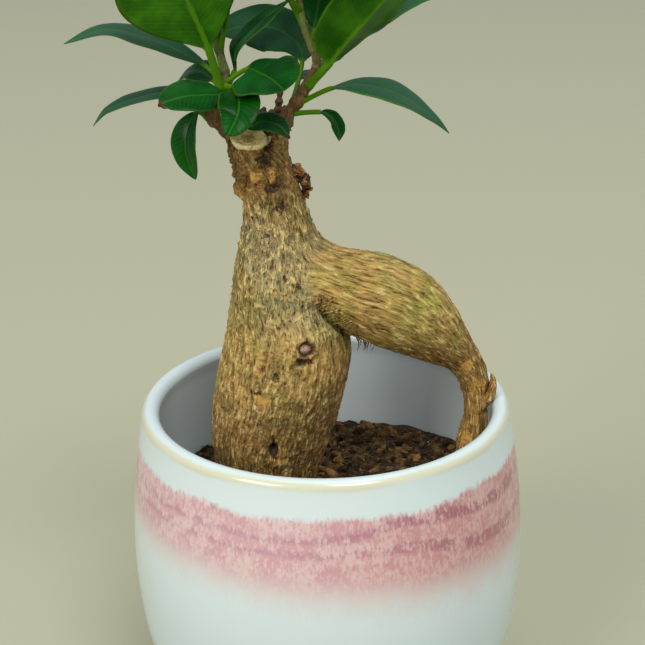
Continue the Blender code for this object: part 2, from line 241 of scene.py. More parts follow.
class Paint:
    # one material; node() adds any node from its type, its settings, then the values or links of its sockets
    def __init__(self, name):  # an empty node tree under this name
        self.material = bpy.data.materials.new(name)
        self.material.use_nodes = True
        self.tree = self.material.node_tree
        self.tree.nodes.clear()

    def node(self, kind, settings=None, values=None, output=0):
        # settings go on the node itself; a value is a number or colour, or a Level to link
        made = self.tree.nodes.new("ShaderNode" + kind)
        for label, value in (settings or {}).items():
            setattr(made, label, value)
        for label, value in (values or {}).items():
            if isinstance(value, Level):
                self.tree.links.new(value.socket, made.inputs[label])
            else:
                made.inputs[label].default_value = value
        return Level(self, made.outputs[output]) if made.outputs else None

    def maths(self, operation, *values):  # one Math node
        return self.node("Math", {"operation": operation}, dict(enumerate(values)))

    def split(self, vector):
        # a place in metres as three levels in mm
        return [self.node("SeparateXYZ", None, {0: vector}, output=k) * 1000 for k in range(3)]

    def place(self):  # where on the object, in metres
        return self.node("TexCoord", output="Object")

    def field(self, name):  # a number kept at the mesh's points
        return self.node("Attribute", {"attribute_name": name}, output="Fac")

    def fieldVector(self, name):  # a vector kept at the mesh's points
        return self.node("Attribute", {"attribute_name": name}, output="Vector")

    def stretch(self, vector, factors):  # the vector times three factors
        return self.node("VectorMath", {"operation": "MULTIPLY"}, {0: vector, 1: factors})

    def noise(self, vector, scale, detail=2.0, roughness=0.5, distortion=0.0):
        # fractal noise from 0 to 1, middling at 0.5
        values = {"Vector": vector, "Scale": scale, "Detail": detail, "Roughness": roughness}
        return self.node("TexNoise", None, {**values, "Distortion": distortion})

    def step(self, value, low, high):
        # the smooth step 3t² - 2t³ of a level between low and high
        return self.node("MapRange", {"interpolation_type": "SMOOTHSTEP"},
                         {"Value": value, "From Min": low, "From Max": high})

    def mix(self, share, first, second, blend="MIX"):
        # first + share (second - first), or another blend of the two colours
        settings = {"data_type": "RGBA", "blend_type": blend}
        return self.node("Mix", settings, {0: share, 6: first, 7: second}, output=2)

    def layers(self, colour, *rows):
        # each row lays its colour over what is there, by its share
        for share, over in rows:
            colour = self.mix(share, colour, over)
        return colour

    def warp(self, vector, scale, amount):
        # the vector moved by a noise colour: v + (n - 0.5) amount
        moved = self.node("TexNoise", None, {"Vector": vector, "Scale": scale, "Detail": 1.0}, output="Color")
        moved = self.node("VectorMath", {"operation": "SUBTRACT"}, {0: moved, 1: (0.5, 0.5, 0.5)})
        moved = self.node("VectorMath", {"operation": "SCALE"}, {0: moved, "Scale": amount})
        return self.node("VectorMath", {"operation": "ADD"}, {0: vector, 1: moved})

    def bump(self, height, strength, distance):  # a normal tilted by the slope of the height
        return self.node("Bump", None, {"Height": height, "Strength": strength, "Distance": distance})

    def finish(self, values, glow=None):
        # glow is the colour and share of the light that passes through, for thin leaves
        shader = self.node("BsdfPrincipled", None, values)
        if glow:
            colour, share = glow
            behind = self.node("BsdfTranslucent", None, {"Color": colour})
            shader = self.node("MixShader", None, {0: share, 1: shader, 2: behind})
        self.node("OutputMaterial", None, {"Surface": shader})
        return self


# Pot: glazed stoneware

pot = {
    "height": 118, "lipRadius": 62, "lip": 6, "wall": 5.5, "floor": 7, "foot": 44,
    "segments": 240,
    "belly": [  # radius and height up the outer side
        (47.2, 1.6), (58.2, 17), (64.0, 35), (66.3, 52), (66.9, 68), (66.0, 86), (64.0, 102), (62.4, 112),
    ],
    "bandTop": 106.4, "bandFoot": 71.5, "bandTilt": 7.0,
    "white": srgb(221, 231, 231), "shade": srgb(206, 222, 226), "inside": srgb(240, 250, 252),
    "cream": srgb(206, 212, 186), "ochre": srgb(216, 206, 162), "clay": srgb(176, 148, 118),
    "rose": srgb(212, 148, 154), "paleRose": srgb(230, 190, 188), "peach": srgb(224, 200, 192),
    "deepeningAndShade": srgb(232, 212, 202), "mauve": srgb(186, 106, 136), "plum": srgb(164, 88, 104),
    "ash": srgb(118, 114, 108),
}


def outerWall(steps):
    # the pot's outer side from the foot to the lip, as radius and height
    return smoothLine(pot["belly"], steps)


def innerWall(steps):
    # the outer side moved in by the wall, from just over the floor upwards
    outer = outerWall(steps)
    inside = outer[outer[:, 1] > pot["floor"] + 10] - [pot["wall"], 0]
    corner = [(inside[0, 0] - 14, pot["floor"]), (inside[0, 0] - 6, pot["floor"] + 2.6)]
    return np.vstack([smoothLine([*corner, inside[0]], 6)[:-1], inside])


def arcPoints(centre, radius, start, end, steps):
    # centre + radius (cos a, sin a) for angles from start to end in degrees
    angles = np.radians(np.linspace(start, end, steps))
    return np.stack([centre[0] + radius * np.cos(angles), centre[1] + radius * np.sin(angles)], axis=-1)


def potGlaze():
    # white glaze, with a rose band whose top edge hangs in teeth and whose foot fades out, lower on the left
    p = Paint("glazedStoneware")
    place = p.place()
    across, deep, high = p.split(place)
    radius = p.maths("SQRT", across * across + deep * deep)
    grains = p.noise(p.stretch(place, (1, 1, 0.5)), 900, 3, 0.7) - 0.5
    teeth = p.noise(p.stretch(place, (1, 1, 0.12)), 800, 1.5, 0.55) - 0.5
    blots = p.noise(place, 130, 2, 0.55) - 0.5
    waves = p.noise(p.stretch(place, (1, 1, 0.3)), 38, 2) - 0.5
    left = (across * -0.985 + deep * -0.174) / 65
    # right grows towards the right side, where the band is deeper in tone and is also darkened by painted
    # shade
    right = p.step(across, -20, 45)
    top = waves * 5 + teeth * 3.2 + pot["bandTop"]
    foot = left * pot["bandTilt"] + waves * 5 + pot["bandFoot"]
    depth = top - high
    share = depth / (top - foot)
    fade = 1 - p.step(share + grains * 0.35 + blots * 0.25, 0.55, 1.12)
    band = p.step(depth + grains * 2.6, -0.5, 2.0) * fade * p.step(radius, 61.9, 62.3)
    # two wandering darker lines, broader on the right
    upper = p.step(across, 6, 24) * (1 - p.step(across, 28, 50)) * 4.2 + 99.0
    lower = 94.2 - p.step(across, 28, 50) * 6.8
    wander = waves * 5 + blots * 3.5 + grains * 2.5
    lines = []
    for level in (upper, lower):
        away = p.maths("ABSOLUTE", high - (wander + level)) - right * 1.1
        lines.append(1 - p.step(away, 0.0, 1.9))
    line = p.maths("MAXIMUM", lines[0], lines[1] * 0.8) * p.step(blots * 0.8 + grains * 1.2, -0.26, 0.16)
    rose = p.mix(p.step(grains + blots * 0.6, -0.14, 0.16), pot["paleRose"], pot["rose"])
    # partly painted shade: the rose is multiplied down on the right, for the band's deeper tone and for the
    # shade on that side
    rose = p.mix(right * 0.55, rose, pot["deepeningAndShade"], "MULTIPLY")
    rose = p.mix(p.step(share, 0.55, 0.95) * 0.85, rose, pot["peach"])
    rose = p.mix(line * (right * 0.25 + 0.62), rose, p.mix(right, pot["mauve"], pot["plum"]))
    specks = p.step(p.noise(p.stretch(place, (1, 1, 0.35)), 300, 0) - 0.5, 0.2, 0.24)
    edge = (1 - p.step(p.maths("ABSOLUTE", depth - 0.6), 0.2, 1.6)) * specks
    ring = p.maths("ABSOLUTE", high - radius - 55.2 + waves * 3)
    lip = (1 - p.step(ring, 0.6, 2.9)) * p.step(radius, 59.3, 60.4) * p.step(high, 113.5, 115)
    white = p.mix((1 - p.step(high + waves * 40, 4, 40)) * 0.5, pot["white"], pot["cream"])
    # painted shade: the white is darkened to the shade colour towards the foot
    white = p.mix(1 - p.step(high, 25, 90), white, pot["shade"])
    # painted light: the inner wall is lightened and turned bluish with the inside colour, in place of light
    # that does not reach it
    inside = (1 - p.step(radius, 61.5, 62.0)) * p.step(high, 26, 34) * (1 - p.step(high, 108, 114))
    white = p.mix(inside, white, pot["inside"])
    bare = 1 - p.step(high, 0.9, 1.7)
    colour = p.layers(white, (band * (right * 0.1 + 0.86), rose), (edge * band * 0.5, pot["ash"]),
                      (lip * 0.72, pot["ochre"]), (bare, pot["clay"]))
    rough = bare * 0.6 + p.noise(place, 160, 3) * 0.06 + band * 0.05 + 0.15
    height = p.noise(place, 55, 2) * 0.7 + grains * 0.25 * band
    return p.finish({"Base Color": colour, "Roughness": rough, "Normal": p.bump(height, 0.12, 0.0006),
                     "Coat Weight": 0.2, "Coat Roughness": 0.08})


def makePot():
    # one closed profile turned about Z: foot, heel, outer wall, round lip, inner wall, floor
    half = pot["lip"] / 2
    middle = (pot["lipRadius"] - half, pot["height"] - half)
    outer = outerWall(9)
    heel = smoothLine([(pot["foot"] - 2, 0), (pot["foot"], 0), (pot["foot"] + 1.9, 0.45), outer[0]], 4)[4:-1]
    profile = np.vstack([
        np.stack([np.linspace(6, pot["foot"] - 0.6, 7), np.zeros(7)], axis=-1), heel, outer,
        arcPoints(middle, half, 0, 180, 22), innerWall(9)[::-1], [(20, pot["floor"])],
    ])
    addTubes("glazedPot", turnProfile(profile, pot["segments"]), potGlaze(), ["pot"])


makePot()
print("pot turned and glazed")


# Trunk and side root: swollen, grown together

trunk = {
    "axis": [
        (-20, 0, 76, 9.0), (-20.5, 0, 82, 13.5), (-20.5, 0, 90, 16.4), (-20, 0, 100, 18.6),
        (-17.6, 0, 112, 20.6), (-14.4, 0, 126, 21.2), (-11.8, 0, 140, 20.8), (-12.4, 0, 151, 18.6),
        (-13.4, 0, 161, 16.2), (-14, 0, 171, 13.6), (-14.6, 0, 180, 11.4), (-15.9, 0, 188, 9.9),
        (-18, 0, 196, 8.9), (-20.6, -0.9, 202.5, 7.7), (-22.4, -2.4, 208, 6.4), (-23.2, -4, 213, 5.8),
    ],
    "sideRoot": [
        (-8, -2, 163, 8.5), (-1, -4, 162.5, 10.6), (8, -4, 158.8, 13.2), (18, -2, 154.4, 14.6),
        (26.2, 0, 149.6, 14.2), (33.4, 1, 143.8, 11.8), (39.6, 2, 137.6, 8.9), (44.9, 3, 132.2, 6.5),
        (49.0, 3, 125.6, 4.8),
        (50.8, 3, 120.2, 4.1), (51.0, 2, 113, 3.8), (50.4, 2, 105, 4.0), (49, 1, 96, 4.3), (47.6, 0, 88, 4.8),
        (46, 0, 78, 4.2),
    ],
    "lumps": [  # knobs that join the neck: x, y, z, radius rows, then how softly each joins
        ([(-15.5, 0.5, 198, 5.5), (-14.6, -0.6, 203, 4.3), (-14, -2.2, 208, 3.3),
          (-13.9, -2.8, 210.6, 2.4)], 2),
        ([(-24.5, 0, 192, 3.2), (-27.2, -0.4, 191.4, 1.5)], 1.2),
        ([(-20.6, -7.9, 198.6, 1.3), (-17.7, -8.9, 197.4, 1.2), (-15.9, -8.8, 199.6, 1.4),
          (-15.3, -8.9, 196.3, 1.3)], 0.7),
        ([(-24, -5.8, 194.2, 2.0), (-20.2, -8.4, 193.0, 1.7), (-18.4, -9.2, 190.6, 1.2)], 0.8),
        ([(-25.4, 1.2, 204.4, 4.0), (-27.2, 0.8, 208.0, 2.7), (-30.2, -1.5, 211.6, 1.9)], 1.4),
        ([(-16.4, 3.6, 201, 4.4), (-13.6, 2.6, 207, 3.0), (-12.4, 2.1, 211.0, 2.6)], 2.0),
    ],
    "cutAt": (-22.6, -4.0, 209.3), "cutFacing": (0.06, -0.30, 0.95), "voxel": 0.56,
    "light": srgb(238, 206, 134), "tan": srgb(198, 156, 86), "olive": srgb(168, 144, 72),
    "brown": srgb(128, 86, 40), "deep": srgb(50, 32, 16), "red": srgb(136, 84, 48),
    "grey": srgb(182, 190, 160), "moss": srgb(172, 170, 72), "bare": srgb(210, 158, 76),
    "cream": srgb(240, 222, 158), "pink": srgb(190, 146, 140),
}
marks = {  # spots on the front of the bark: place, half width and half height, how far it sinks, dark, ochre; dark is painted shade in the sunken notch, hole, dimple, pits, callus and under the eye, and the bark's own dark in the stains and patches
    "dimple": ((-16.1, -20, 134.8), (1.3, 1.7), 0.7, 0.9, 0.0),
    "notch": ((-20.3, -20, 127.0), (2.6, 1.9), 0.9, 0.2, 1.3),
    "notchShade": ((-21.6, -20, 128.6), (2.2, 0.7), 0.7, 0.9, 0.0),
    "hole": ((-17.3, -20, 108.6), (1.3, 2.8), 2.8, 2.4, 0.0),
    "holeEdge": ((-14.4, -20, 106.5), (2.2, 3.6), -0.3, 0.0, 0.7),
    "underEye": ((-6.9, -20, 139.8), (2.8, 1.7), 1.3, 1.0, 0.0),
    "pitHigh": ((-18.2, -15, 179.5), (1.4, 0.9), 0.8, 0.9, 0.0),
    "pitLeft": ((-12.2, -18, 166.4), (1.0, 1.9), 0.9, 0.9, 0.0),
    "pitRight": ((-8.1, -18, 164.3), (1.1, 1.8), 0.9, 0.9, 0.0),
    "knot": ((-16.0, -18, 161.9), (1.3, 1.8), -0.3, 0.0, 0.9),
    "callusShade": ((-15.6, -10, 194.6), (3.4, 2.2), 0.9, 0.9, 0.0),
    "callusLeft": ((-20.6, -10, 198.3), (1.8, 1.4), -0.2, 0.0, 1.0),
    "callusRight": ((-15.6, -10, 198.8), (1.2, 2.7), -0.3, 0.0, 1.0),
    "stainTop": ((-16.6, -7, 208.6), (1.5, 3.6), 1.4, 1.0, 0.0),
    "stainMiddle": ((-18.0, -8, 203.6), (2.6, 2.0), 0.5, 1.0, 0.0),
    "stainFoot": ((-17.8, -9, 201.3), (2.6, 1.3), 0.2, 0.8, 0.0),
    "brownPatch": ((-17.0, -10, 190.5), (6.0, 4.0), 0.2, 0.42, 0.25),
    "leftBump": ((-27.0, -2, 191.6), (1.8, 2.4), 0.0, 0.0, 0.9),
    "neckRight": ((-12.8, -10, 188.5), (2.8, 2.0), 0.5, 0.9, 0.0),
    "bumpMiddle": ((-23.6, -6, 193.2), (3.0, 2.0), -0.3, 0.0, 0.8),
    "shinOne": ((46.9, -3, 130.1), (2.2, 2.6), -0.3, 0.0, 1.2),
    "shinTwo": ((50.5, -3, 122.5), (3.0, 2.2), -0.3, 0.0, 1.1),
    "shinThree": ((47.6, -3, 102.8), (1.6, 3.2), -0.2, 0.0, 1.2),
}


def limbDistance(points, line):
    # least distance to spheres strung along the axis, to a centre less its radius, and which sphere it was
    squares = (points**2).sum(1)[:, None] + (line[:, :3] ** 2).sum(1) - 2 * points @ line[:, :3].T
    distances = np.sqrt(np.maximum(squares, 0)) - line[:, 3]
    nearest = distances.argmin(axis=1)
    return distances[np.arange(len(points)), nearest], nearest


def softUnion(first, second, soft):
    # the lesser of two distances, with a fillet: mix - soft h (1 - h), h = 0.5 + 0.5 (second - first) / soft
    h = np.clip(0.5 + 0.5 * (second - first) / soft, 0, 1)
    return second + (first - second) * h - soft * h * (1 - h)


def barkDistance(points):
    # trunk cut by its sawn face, joined to the side root and the knobs; the join is tight under the arch
    trunkDistance, _ = limbDistance(points, smoothLine(trunk["axis"], 12))
    sawn = (points - trunk["cutAt"]) @ unit(np.array(trunk["cutFacing"]))
    near = np.linalg.norm(points - trunk["cutAt"], axis=1) < 30
    trunkDistance = -softUnion(-trunkDistance, -np.where(near, sawn, -50), 0.4)
    rootDistance, _ = limbDistance(points, smoothLine(trunk["sideRoot"], 12))
    tight = ease(points[:, 2] - 0.25 * points[:, 0], 152, 164)
    whole = softUnion(trunkDistance, rootDistance, 0.5 + 8 * tight)
    for rows, soft in trunk["lumps"]:
        whole = softUnion(whole, limbDistance(points, smoothLine(rows, 6))[0], soft)
    return whole


def grainAlong(points, line, reference):
    # straightened coordinates: (cos t, sin t) times a mean radius, and the distance along the axis
    _, nearest = limbDistance(points, line)
    forward, across, up = framesAlong(line, (0, -1, 0))
    offset = points - line[nearest, :3]
    side, rise = (np.sum(offset * way[nearest], axis=1) for way in (across, up))
    along = lengthsAlong(line)[nearest] + np.sum(offset * forward[nearest], axis=1)
    scale = np.sqrt(reference * line[nearest, 3]) / np.maximum(np.hypot(side, rise), 0.5)
    return np.stack([side * scale, rise * scale, along], axis=-1)


def ridges(grain, size, seed):
    # folded noise: 1 on the crests where the noise crosses zero, falling to 0
    return 1 - np.minimum(np.abs(valueNoise(grain, size, seed)) * 2.6, 1)


def barkMesh():
    # limbs as rings of circles, fused by a voxel remesh, whose points then move onto the filleted surface
    lumps = [rows for rows, _ in trunk["lumps"]]
    limbs = [smoothLine(rows, 6) for rows in (trunk["axis"][:-1], trunk["sideRoot"], *lumps)]
    work = bpy.data.meshes.new("limbs")
    points, faces, start = [], [], 0
    for line in limbs:
        rings = sweep(line, (0.05, -1, 0.02), 48)
        body = np.vstack([line[:1, :3], rings.reshape(-1, 3), line[-1:, :3]])
        points.append(body)
        faces += [part + start for part in tubeFaces(len(line), 48)]
        start += len(body)
    everyFace = [tuple(face) for part in faces for face in part.tolist()]
    work.from_pydata(np.vstack(points) * mm, [], everyFace)
    holder = bpy.data.objects.new("limbs", work)
    bpy.context.scene.collection.objects.link(holder)
    fuse = holder.modifiers.new("fuse", "REMESH")
    fuse.mode = "VOXEL"
    fuse.voxel_size = trunk["voxel"] * mm
    graph = bpy.context.evaluated_depsgraph_get()
    mesh = bpy.data.meshes.new_from_object(holder.evaluated_get(graph))
    bpy.data.objects.remove(holder, do_unlink=True)
    bpy.data.meshes.remove(work)
    mesh.name = "barkAndRoot"
    return mesh


def readVectors(rows, key):
    # a mesh's points or normals as one array
    vectors = np.empty(len(rows) * 3, np.float32)
    rows.foreach_get(key, vectors)
    return vectors.reshape(-1, 3).astype(float)


def setPoints(mesh, points):
    # moves every vertex of a mesh to its row of the array
    mesh.vertices.foreach_set("co", points.astype(np.float32).ravel())
    mesh.update()


def spotField(points, place, size, ragged):
    # 1 at the middle of an upright oval on the front of the bark, fading as exp(-q²), with a ragged edge
    offset = points - place
    flat = (offset[:, 0] / size[0]) ** 2 + (offset[:, 2] / size[1]) ** 2
    return np.exp(-flat * ragged) * (offset[:, 1] < 12)


def makeTrunk(paint):
    # the remeshed limbs, drawn onto the filleted surface, then moved along their normals by the relief
    mesh = barkMesh()
    points = readVectors(mesh.vertices, "co") / mm
    for _ in range(3):  # each step goes down the slope of the distance by the distance itself
        value = barkDistance(points)
        slope = np.stack([barkDistance(points + step) - value for step in 0.05 * np.eye(3)], axis=-1) / 0.05
        points = points - np.clip(value, -1.5, 1.5)[:, None] * unit(slope)
    setPoints(mesh, points * mm)
    normals = readVectors(mesh.vertex_normals, "vector")
    trunkLine, rootLine = smoothLine(trunk["axis"], 12), smoothLine(trunk["sideRoot"], 12)
    trunkDistance, rootDistance = limbDistance(points, trunkLine)[0], limbDistance(points, rootLine)[0]
    rootShare = ease(trunkDistance - rootDistance, -3.5, 3.5)
    grain = grainAlong(points, trunkLine, 18)
    rootGrain = grainAlong(points, rootLine, 12)
    high = points[:, 2]
    sawn = (points - trunk["cutAt"]) @ unit(np.array(trunk["cutFacing"]))
    fromCut = np.linalg.norm(points - trunk["cutAt"], axis=1)
    cut = ease(sawn, -1.1, -0.6) * (1 - ease(fromCut + 0.3 * valueNoise(points, 2, 20), 6.1, 6.6))
    # hills and fibres on the trunk
    warp = 2.2 * np.stack([valueNoise(points, 7, k) for k in (3, 4, 5)], axis=-1)
    fibre = ridges(grain + warp * [0.6, 0.6, 1], (1.5, 1.5, 6.5), 11)
    net = ridges(grain + warp, (2.1, 2.1, 3.4), 12) * ridges(grain - warp, (2.6, 2.6, 3.0), 13)
    netShare = ease(high, 141, 160) * (1 - ease(high, 186, 196))
    hills = valueNoise(points, 15, 21) * 0.55 + valueNoise(points, 6, 22) * 0.28
    onTrunk = (fibre - 0.5) * 0.6 * (1 - 0.55 * netShare) + (net - 0.4) * 0.8 * netShare
    # long wavy fibres, then joints, down the side root
    strand = ridges(rootGrain + warp * [0.45, 0.45, 1], (1.15, 1.15, 8.5), 31)
    lowRoot = ease(rootGrain[:, 2], 62, 82)
    joints = ridges(rootGrain * [0.1, 0.1, 1] + warp * [0, 0, 1.4], (3, 3, 4.6), 33) * 0.35 * lowRoot
    knobs = np.maximum(valueNoise(rootGrain, (3.2, 3.2, 4.6), 34), 0) * 0.9 * lowRoot
    onRoot = (strand - 0.5) * 0.46 + joints + knobs
    lift = hills + onTrunk * (1 - rootShare) + onRoot * rootShare
    rough = ease(high, 186, 191) * (1 - cut)
    callus = bell(high - 194 + 0.35 * (points[:, 0] + 20), 4.5)
    lift += roughNoise(points, 2.8, 24) * (1.0 + 3.4 * callus * ease(-points[:, 0], 10, 16)) * rough
    crease = bell(trunkDistance - rootDistance, 1.15) * (1 - ease(high - 0.25 * points[:, 0], 155, 162))
    lift = lift * (1 - cut) - 1.3 * crease
    # painted shade: the crease between trunk and side root starts the dark field
    dark, ochre = 0.85 * crease, np.zeros(len(points))
    ragged = 1 + 0.5 * valueNoise(points, 1.6, 41)
    for place, size, depth, shade, warm in marks.values():
        spot = spotField(points, place, size, ragged)
        lift -= depth * spot
        dark = np.maximum(dark, shade * np.minimum(1.5 * spot, 1))
        ochre = np.maximum(ochre, warm * np.minimum(1.4 * spot, 1))
    # an old bud scar: a raised ring, a dark groove and a pale nub
    eye = np.hypot((points[:, 0] + 6.2) / 3.3, (high - 144.0) / 3.1) + 8 * (points[:, 1] > -8)
    eye = eye * (1 + 0.16 * valueNoise(points, 1.8, 43))
    lift += 1.5 * bell(eye - 1.05, 0.34) + 1.2 * bell(eye, 0.4) - 0.9 * bell(eye - 0.62, 0.18)
    dark = np.maximum(dark, np.maximum(1.1 * bell(eye - 0.64, 0.22), 0.5 * bell(eye - 1.2, 0.34)))
    setPoints(mesh, (points + lift[:, None] * normals) * mm)
    mesh.polygons.foreach_set("use_smooth", np.ones(len(mesh.polygons), bool))
    # painted shade: how deep a point lies in the relief's hollows, which darkens it
    hollowShade = np.clip(0.5 - (onTrunk * (1 - rootShare) + onRoot * rootShare) * 1.3, 0, 1)
    moss = bell(high - 155 + 6 * valueNoise(points, 8, 51), 12) * (0.5 + 0.5 * valueNoise(points, 9, 52))
    fields = {
        "grain": grain * mm, "rootGrain": rootGrain * mm,
        "rootShare": rootShare, "lowRoot": lowRoot * rootShare,
        "dark": dark, "ochre": ochre, "hollowShade": hollowShade, "moss": np.clip(moss, 0, 1), "nub": bell(eye, 0.45),
        "net": netShare * (1 - rootShare), "neck": ease(high, 184, 194) * (1 - rootShare),
        "callus": callus * rough, "cut": cut, "fromCut": fromCut * cut,
    }
    for label, values in fields.items():
        addField(mesh, label, values)
    return dress(bpy.data.objects.new("barkAndRoot", mesh), paint, ["root_and_trunk"])


def barkPaint():
    # ground colours in broad patches, then fibres, pits and spots over them, and the sawn face over all
    p = Paint("rootBark")
    place = p.place()
    across, _, high = p.split(place)
    root, net, low, neck = (p.field(name) for name in ("rootShare", "net", "lowRoot", "neck"))
    grain, rootGrain = (p.warp(p.fieldVector(name), 260, 0.0011) for name in ("grain", "rootGrain"))
    trunkFibre = p.noise(p.stretch(grain, (1, 1, 0.26)), 1300, 3, 0.6)
    rootFibre = p.noise(p.stretch(rootGrain, (1, 1, 0.16)), 1250, 3, 0.6)
    fibre = trunkFibre * (1 - root) + rootFibre * root
    wrinkle = p.noise(p.stretch(grain, (1, 1, 1.9)), 480, 2, 0.5, 0.4)
    # a lattice of fine pale fibres over dark pits on the upper trunk
    cells = {"Vector": p.stretch(grain, (1, 1, 0.3)), "Scale": 600, "Randomness": 1.0}
    lattice = p.node("TexVoronoi", {"feature": "DISTANCE_TO_EDGE"}, cells, output="Distance")
    webs = (1 - p.step(lattice, 0.03, 0.16)) * net
    pits = p.step(lattice, 0.2, 0.34) * p.step(p.noise(place, 330, 1), 0.5, 0.6) * net
    patches, broad = p.noise(place, 85, 3, 0.6), p.noise(place, 34, 2)
    mottle = p.noise(place, 650, 2, 0.6)
    flecks = p.noise(place, 1150, 3, 0.7) - 0.5
    lowTrunk = p.step(high + (broad - 0.5) * 60, 146, 108) * (1 - root)
    shady = p.step(across - high * 0.1 + (patches - 0.5) * 30, -22, 2) * (1 - root)
    lowLeg = p.step(high + (patches - 0.5) * 26, 157, 130) * root
    ochre = p.step(p.field("ochre") * 0.8 + flecks * 2.6 + (mottle - 0.5) * 1.4, 0.42, 0.95)
    # dark holds painted shade in the crease and sunken spots together with the bark's own dark marks
    dark = p.step(p.field("dark") + flecks * 2.0 + (mottle - 0.5), 0.3, 1.05)
    # the sawn face: pale sapwood and rim round a darker middle
    outward = p.field("fromCut") + (mottle - 0.5) * 2
    streaks = p.step(p.noise(p.stretch(place, (1, 3, 1)), 420, 2), 0.54, 0.62)
    wood = p.layers(trunk["olive"], (p.step(outward, 1.0, 3.6), trunk["light"]),
                    (p.step(outward, 4.2, 5.4), trunk["cream"]), (streaks * 0.5, trunk["brown"]))
    colour = p.layers(
        trunk["tan"],
        (p.step(patches, 0.38, 0.62), trunk["olive"]),
        (lowTrunk * 0.6, trunk["brown"]),
        (shady * (1 - p.step(high, 132, 150)) * 0.55, trunk["red"]),
        (lowLeg * 0.75, trunk["brown"]),
        (low * p.step(patches, 0.46, 0.6) * 0.45, trunk["bare"]),
        (p.field("moss") * p.step(patches, 0.36, 0.6) * 0.8, trunk["moss"]),
        (net * p.step(broad, 0.5, 0.64) * 0.42, trunk["grey"]),
        (neck * 0.62, trunk["brown"]),
        (p.field("callus") * p.step(mottle, 0.5, 0.62) * 0.7, trunk["bare"]),
        (p.step(fibre, 0.52, 0.64) * 0.72 * (1 - neck * 0.75), trunk["light"]),
        (p.step(wrinkle, 0.56, 0.68) * 0.3 * (1 - root) * (1 - net), trunk["light"]),
        (webs * 0.85, trunk["light"]),
        ((1 - p.step(fibre, 0.34, 0.48)) * 0.85, trunk["brown"]),
        ((1 - p.step(fibre, 0.28, 0.41)) * 0.85, trunk["deep"]),
        ((1 - p.step(wrinkle, 0.32, 0.42)) * 0.6 * (1 - root), trunk["brown"]),
        # painted shade in the hollows of the relief
        (p.step(p.field("hollowShade"), 0.5, 0.95) * 0.4, trunk["deep"]),
        (pits * 0.5, trunk["deep"]),
        (neck * p.step(mottle, 0.5, 0.66) * 0.7, trunk["deep"]),
        (ochre * 0.85, trunk["bare"]),
        (p.field("nub"), trunk["pink"]),
        (dark * 0.94, trunk["deep"]),
        (p.field("cut"), wood),
    )
    height = fibre + wrinkle * 0.5 + webs * 0.5 - pits * 0.6 + mottle * 0.4 * (neck + 0.3)
    return p.finish({"Base Color": colour, "Roughness": 0.62 + patches * 0.2, "Specular IOR Level": 0.3,
                     "Normal": p.bump(height, 1.0, 0.0009)})


sawnFace = [  # radius, then height over the cut, from underneath round the rim to the middle
    (0.3, -1.6), (4.8, -1.6), (5.5, -1.1), (5.8, -0.4), (5.8, 0.3), (5.4, 0.7), (4.9, 0.6), (4.3, 0.2),
    (3.6, 0.1), (2.8, 0.2), (2.0, 0.0), (1.2, 0.1), (0.2, 0.05),
]
flap = [
    (52.6, 0.2, 112.8, 0.7), (54.4, 0, 115.8, 1.7), (56.0, 0.3, 119.0, 2.1), (56.6, 0.5, 122.2, 1.8),
    (55.8, 0.6, 125.2, 0.5),
]
hairs = {
    "count": 70, "bearded": 22, "steps": 9, "seed": 4,
    "fold": [(-2.5, -12.5, 160.5), (2.4, -11.8, 156.4), (6.4, -8.6, 150.6), (10.2, -3.5, 144.4)],
    "beard": [(10.6, -2.5, 143.6), (13.5, -2.0, 142.8), (16.5, -1.5, 142.2)],
}


def makeSawnFace(paint):
    # the neck's cut end, a turned profile tilted to the cut's facing; its radius wanders by noise
    profile = smoothLine(sawnFace, 3)
    up = unit(np.array([trunk["cutFacing"]], float))[0]
    side = unit(np.cross((0, 1, 0), up)[None])[0]
    turn = np.linspace(0, 2 * np.pi, 72, endpoint=False)[:, None]
    spoke = np.cos(turn) * side + np.sin(turn) * np.cross(up, side)
    wander = 1 + 0.05 * valueNoise(spoke * 6, 4, 57) + 0.02 * valueNoise(spoke * 6, 1.3, 58)
    rings = trunk["cutAt"] + profile[:, :1, None] * (wander[:, None] * spoke) + profile[:, 1, None, None] * up
    rings = rings + 0.12 * roughNoise(rings, 1.4, 59)[..., None] * up
    addTubes("sawnFace", rings, paint, (),
             {"grain": rings, "cut": 1, "hollowShade": 0, "fromCut": profile[:, :1]})


def makeFlap(paint):
    # a flake of bark standing off the side root: a tube three times as deep as it is wide, roughened by noise
    line = smoothLine(flap, 8)
    rings = swell(line, sweep(line, (0.1, -1, 0), 24), [0.62, 1.9, 1.0])
    rings = rings + 0.5 * roughNoise(rings, 2.2, 55)[..., None]
    addTubes("barkFlap", rings, paint, (),
             {"grain": rings, "rootGrain": rings, "rootShare": 1, "ochre": 0.3, "hollowShade": 0.3})


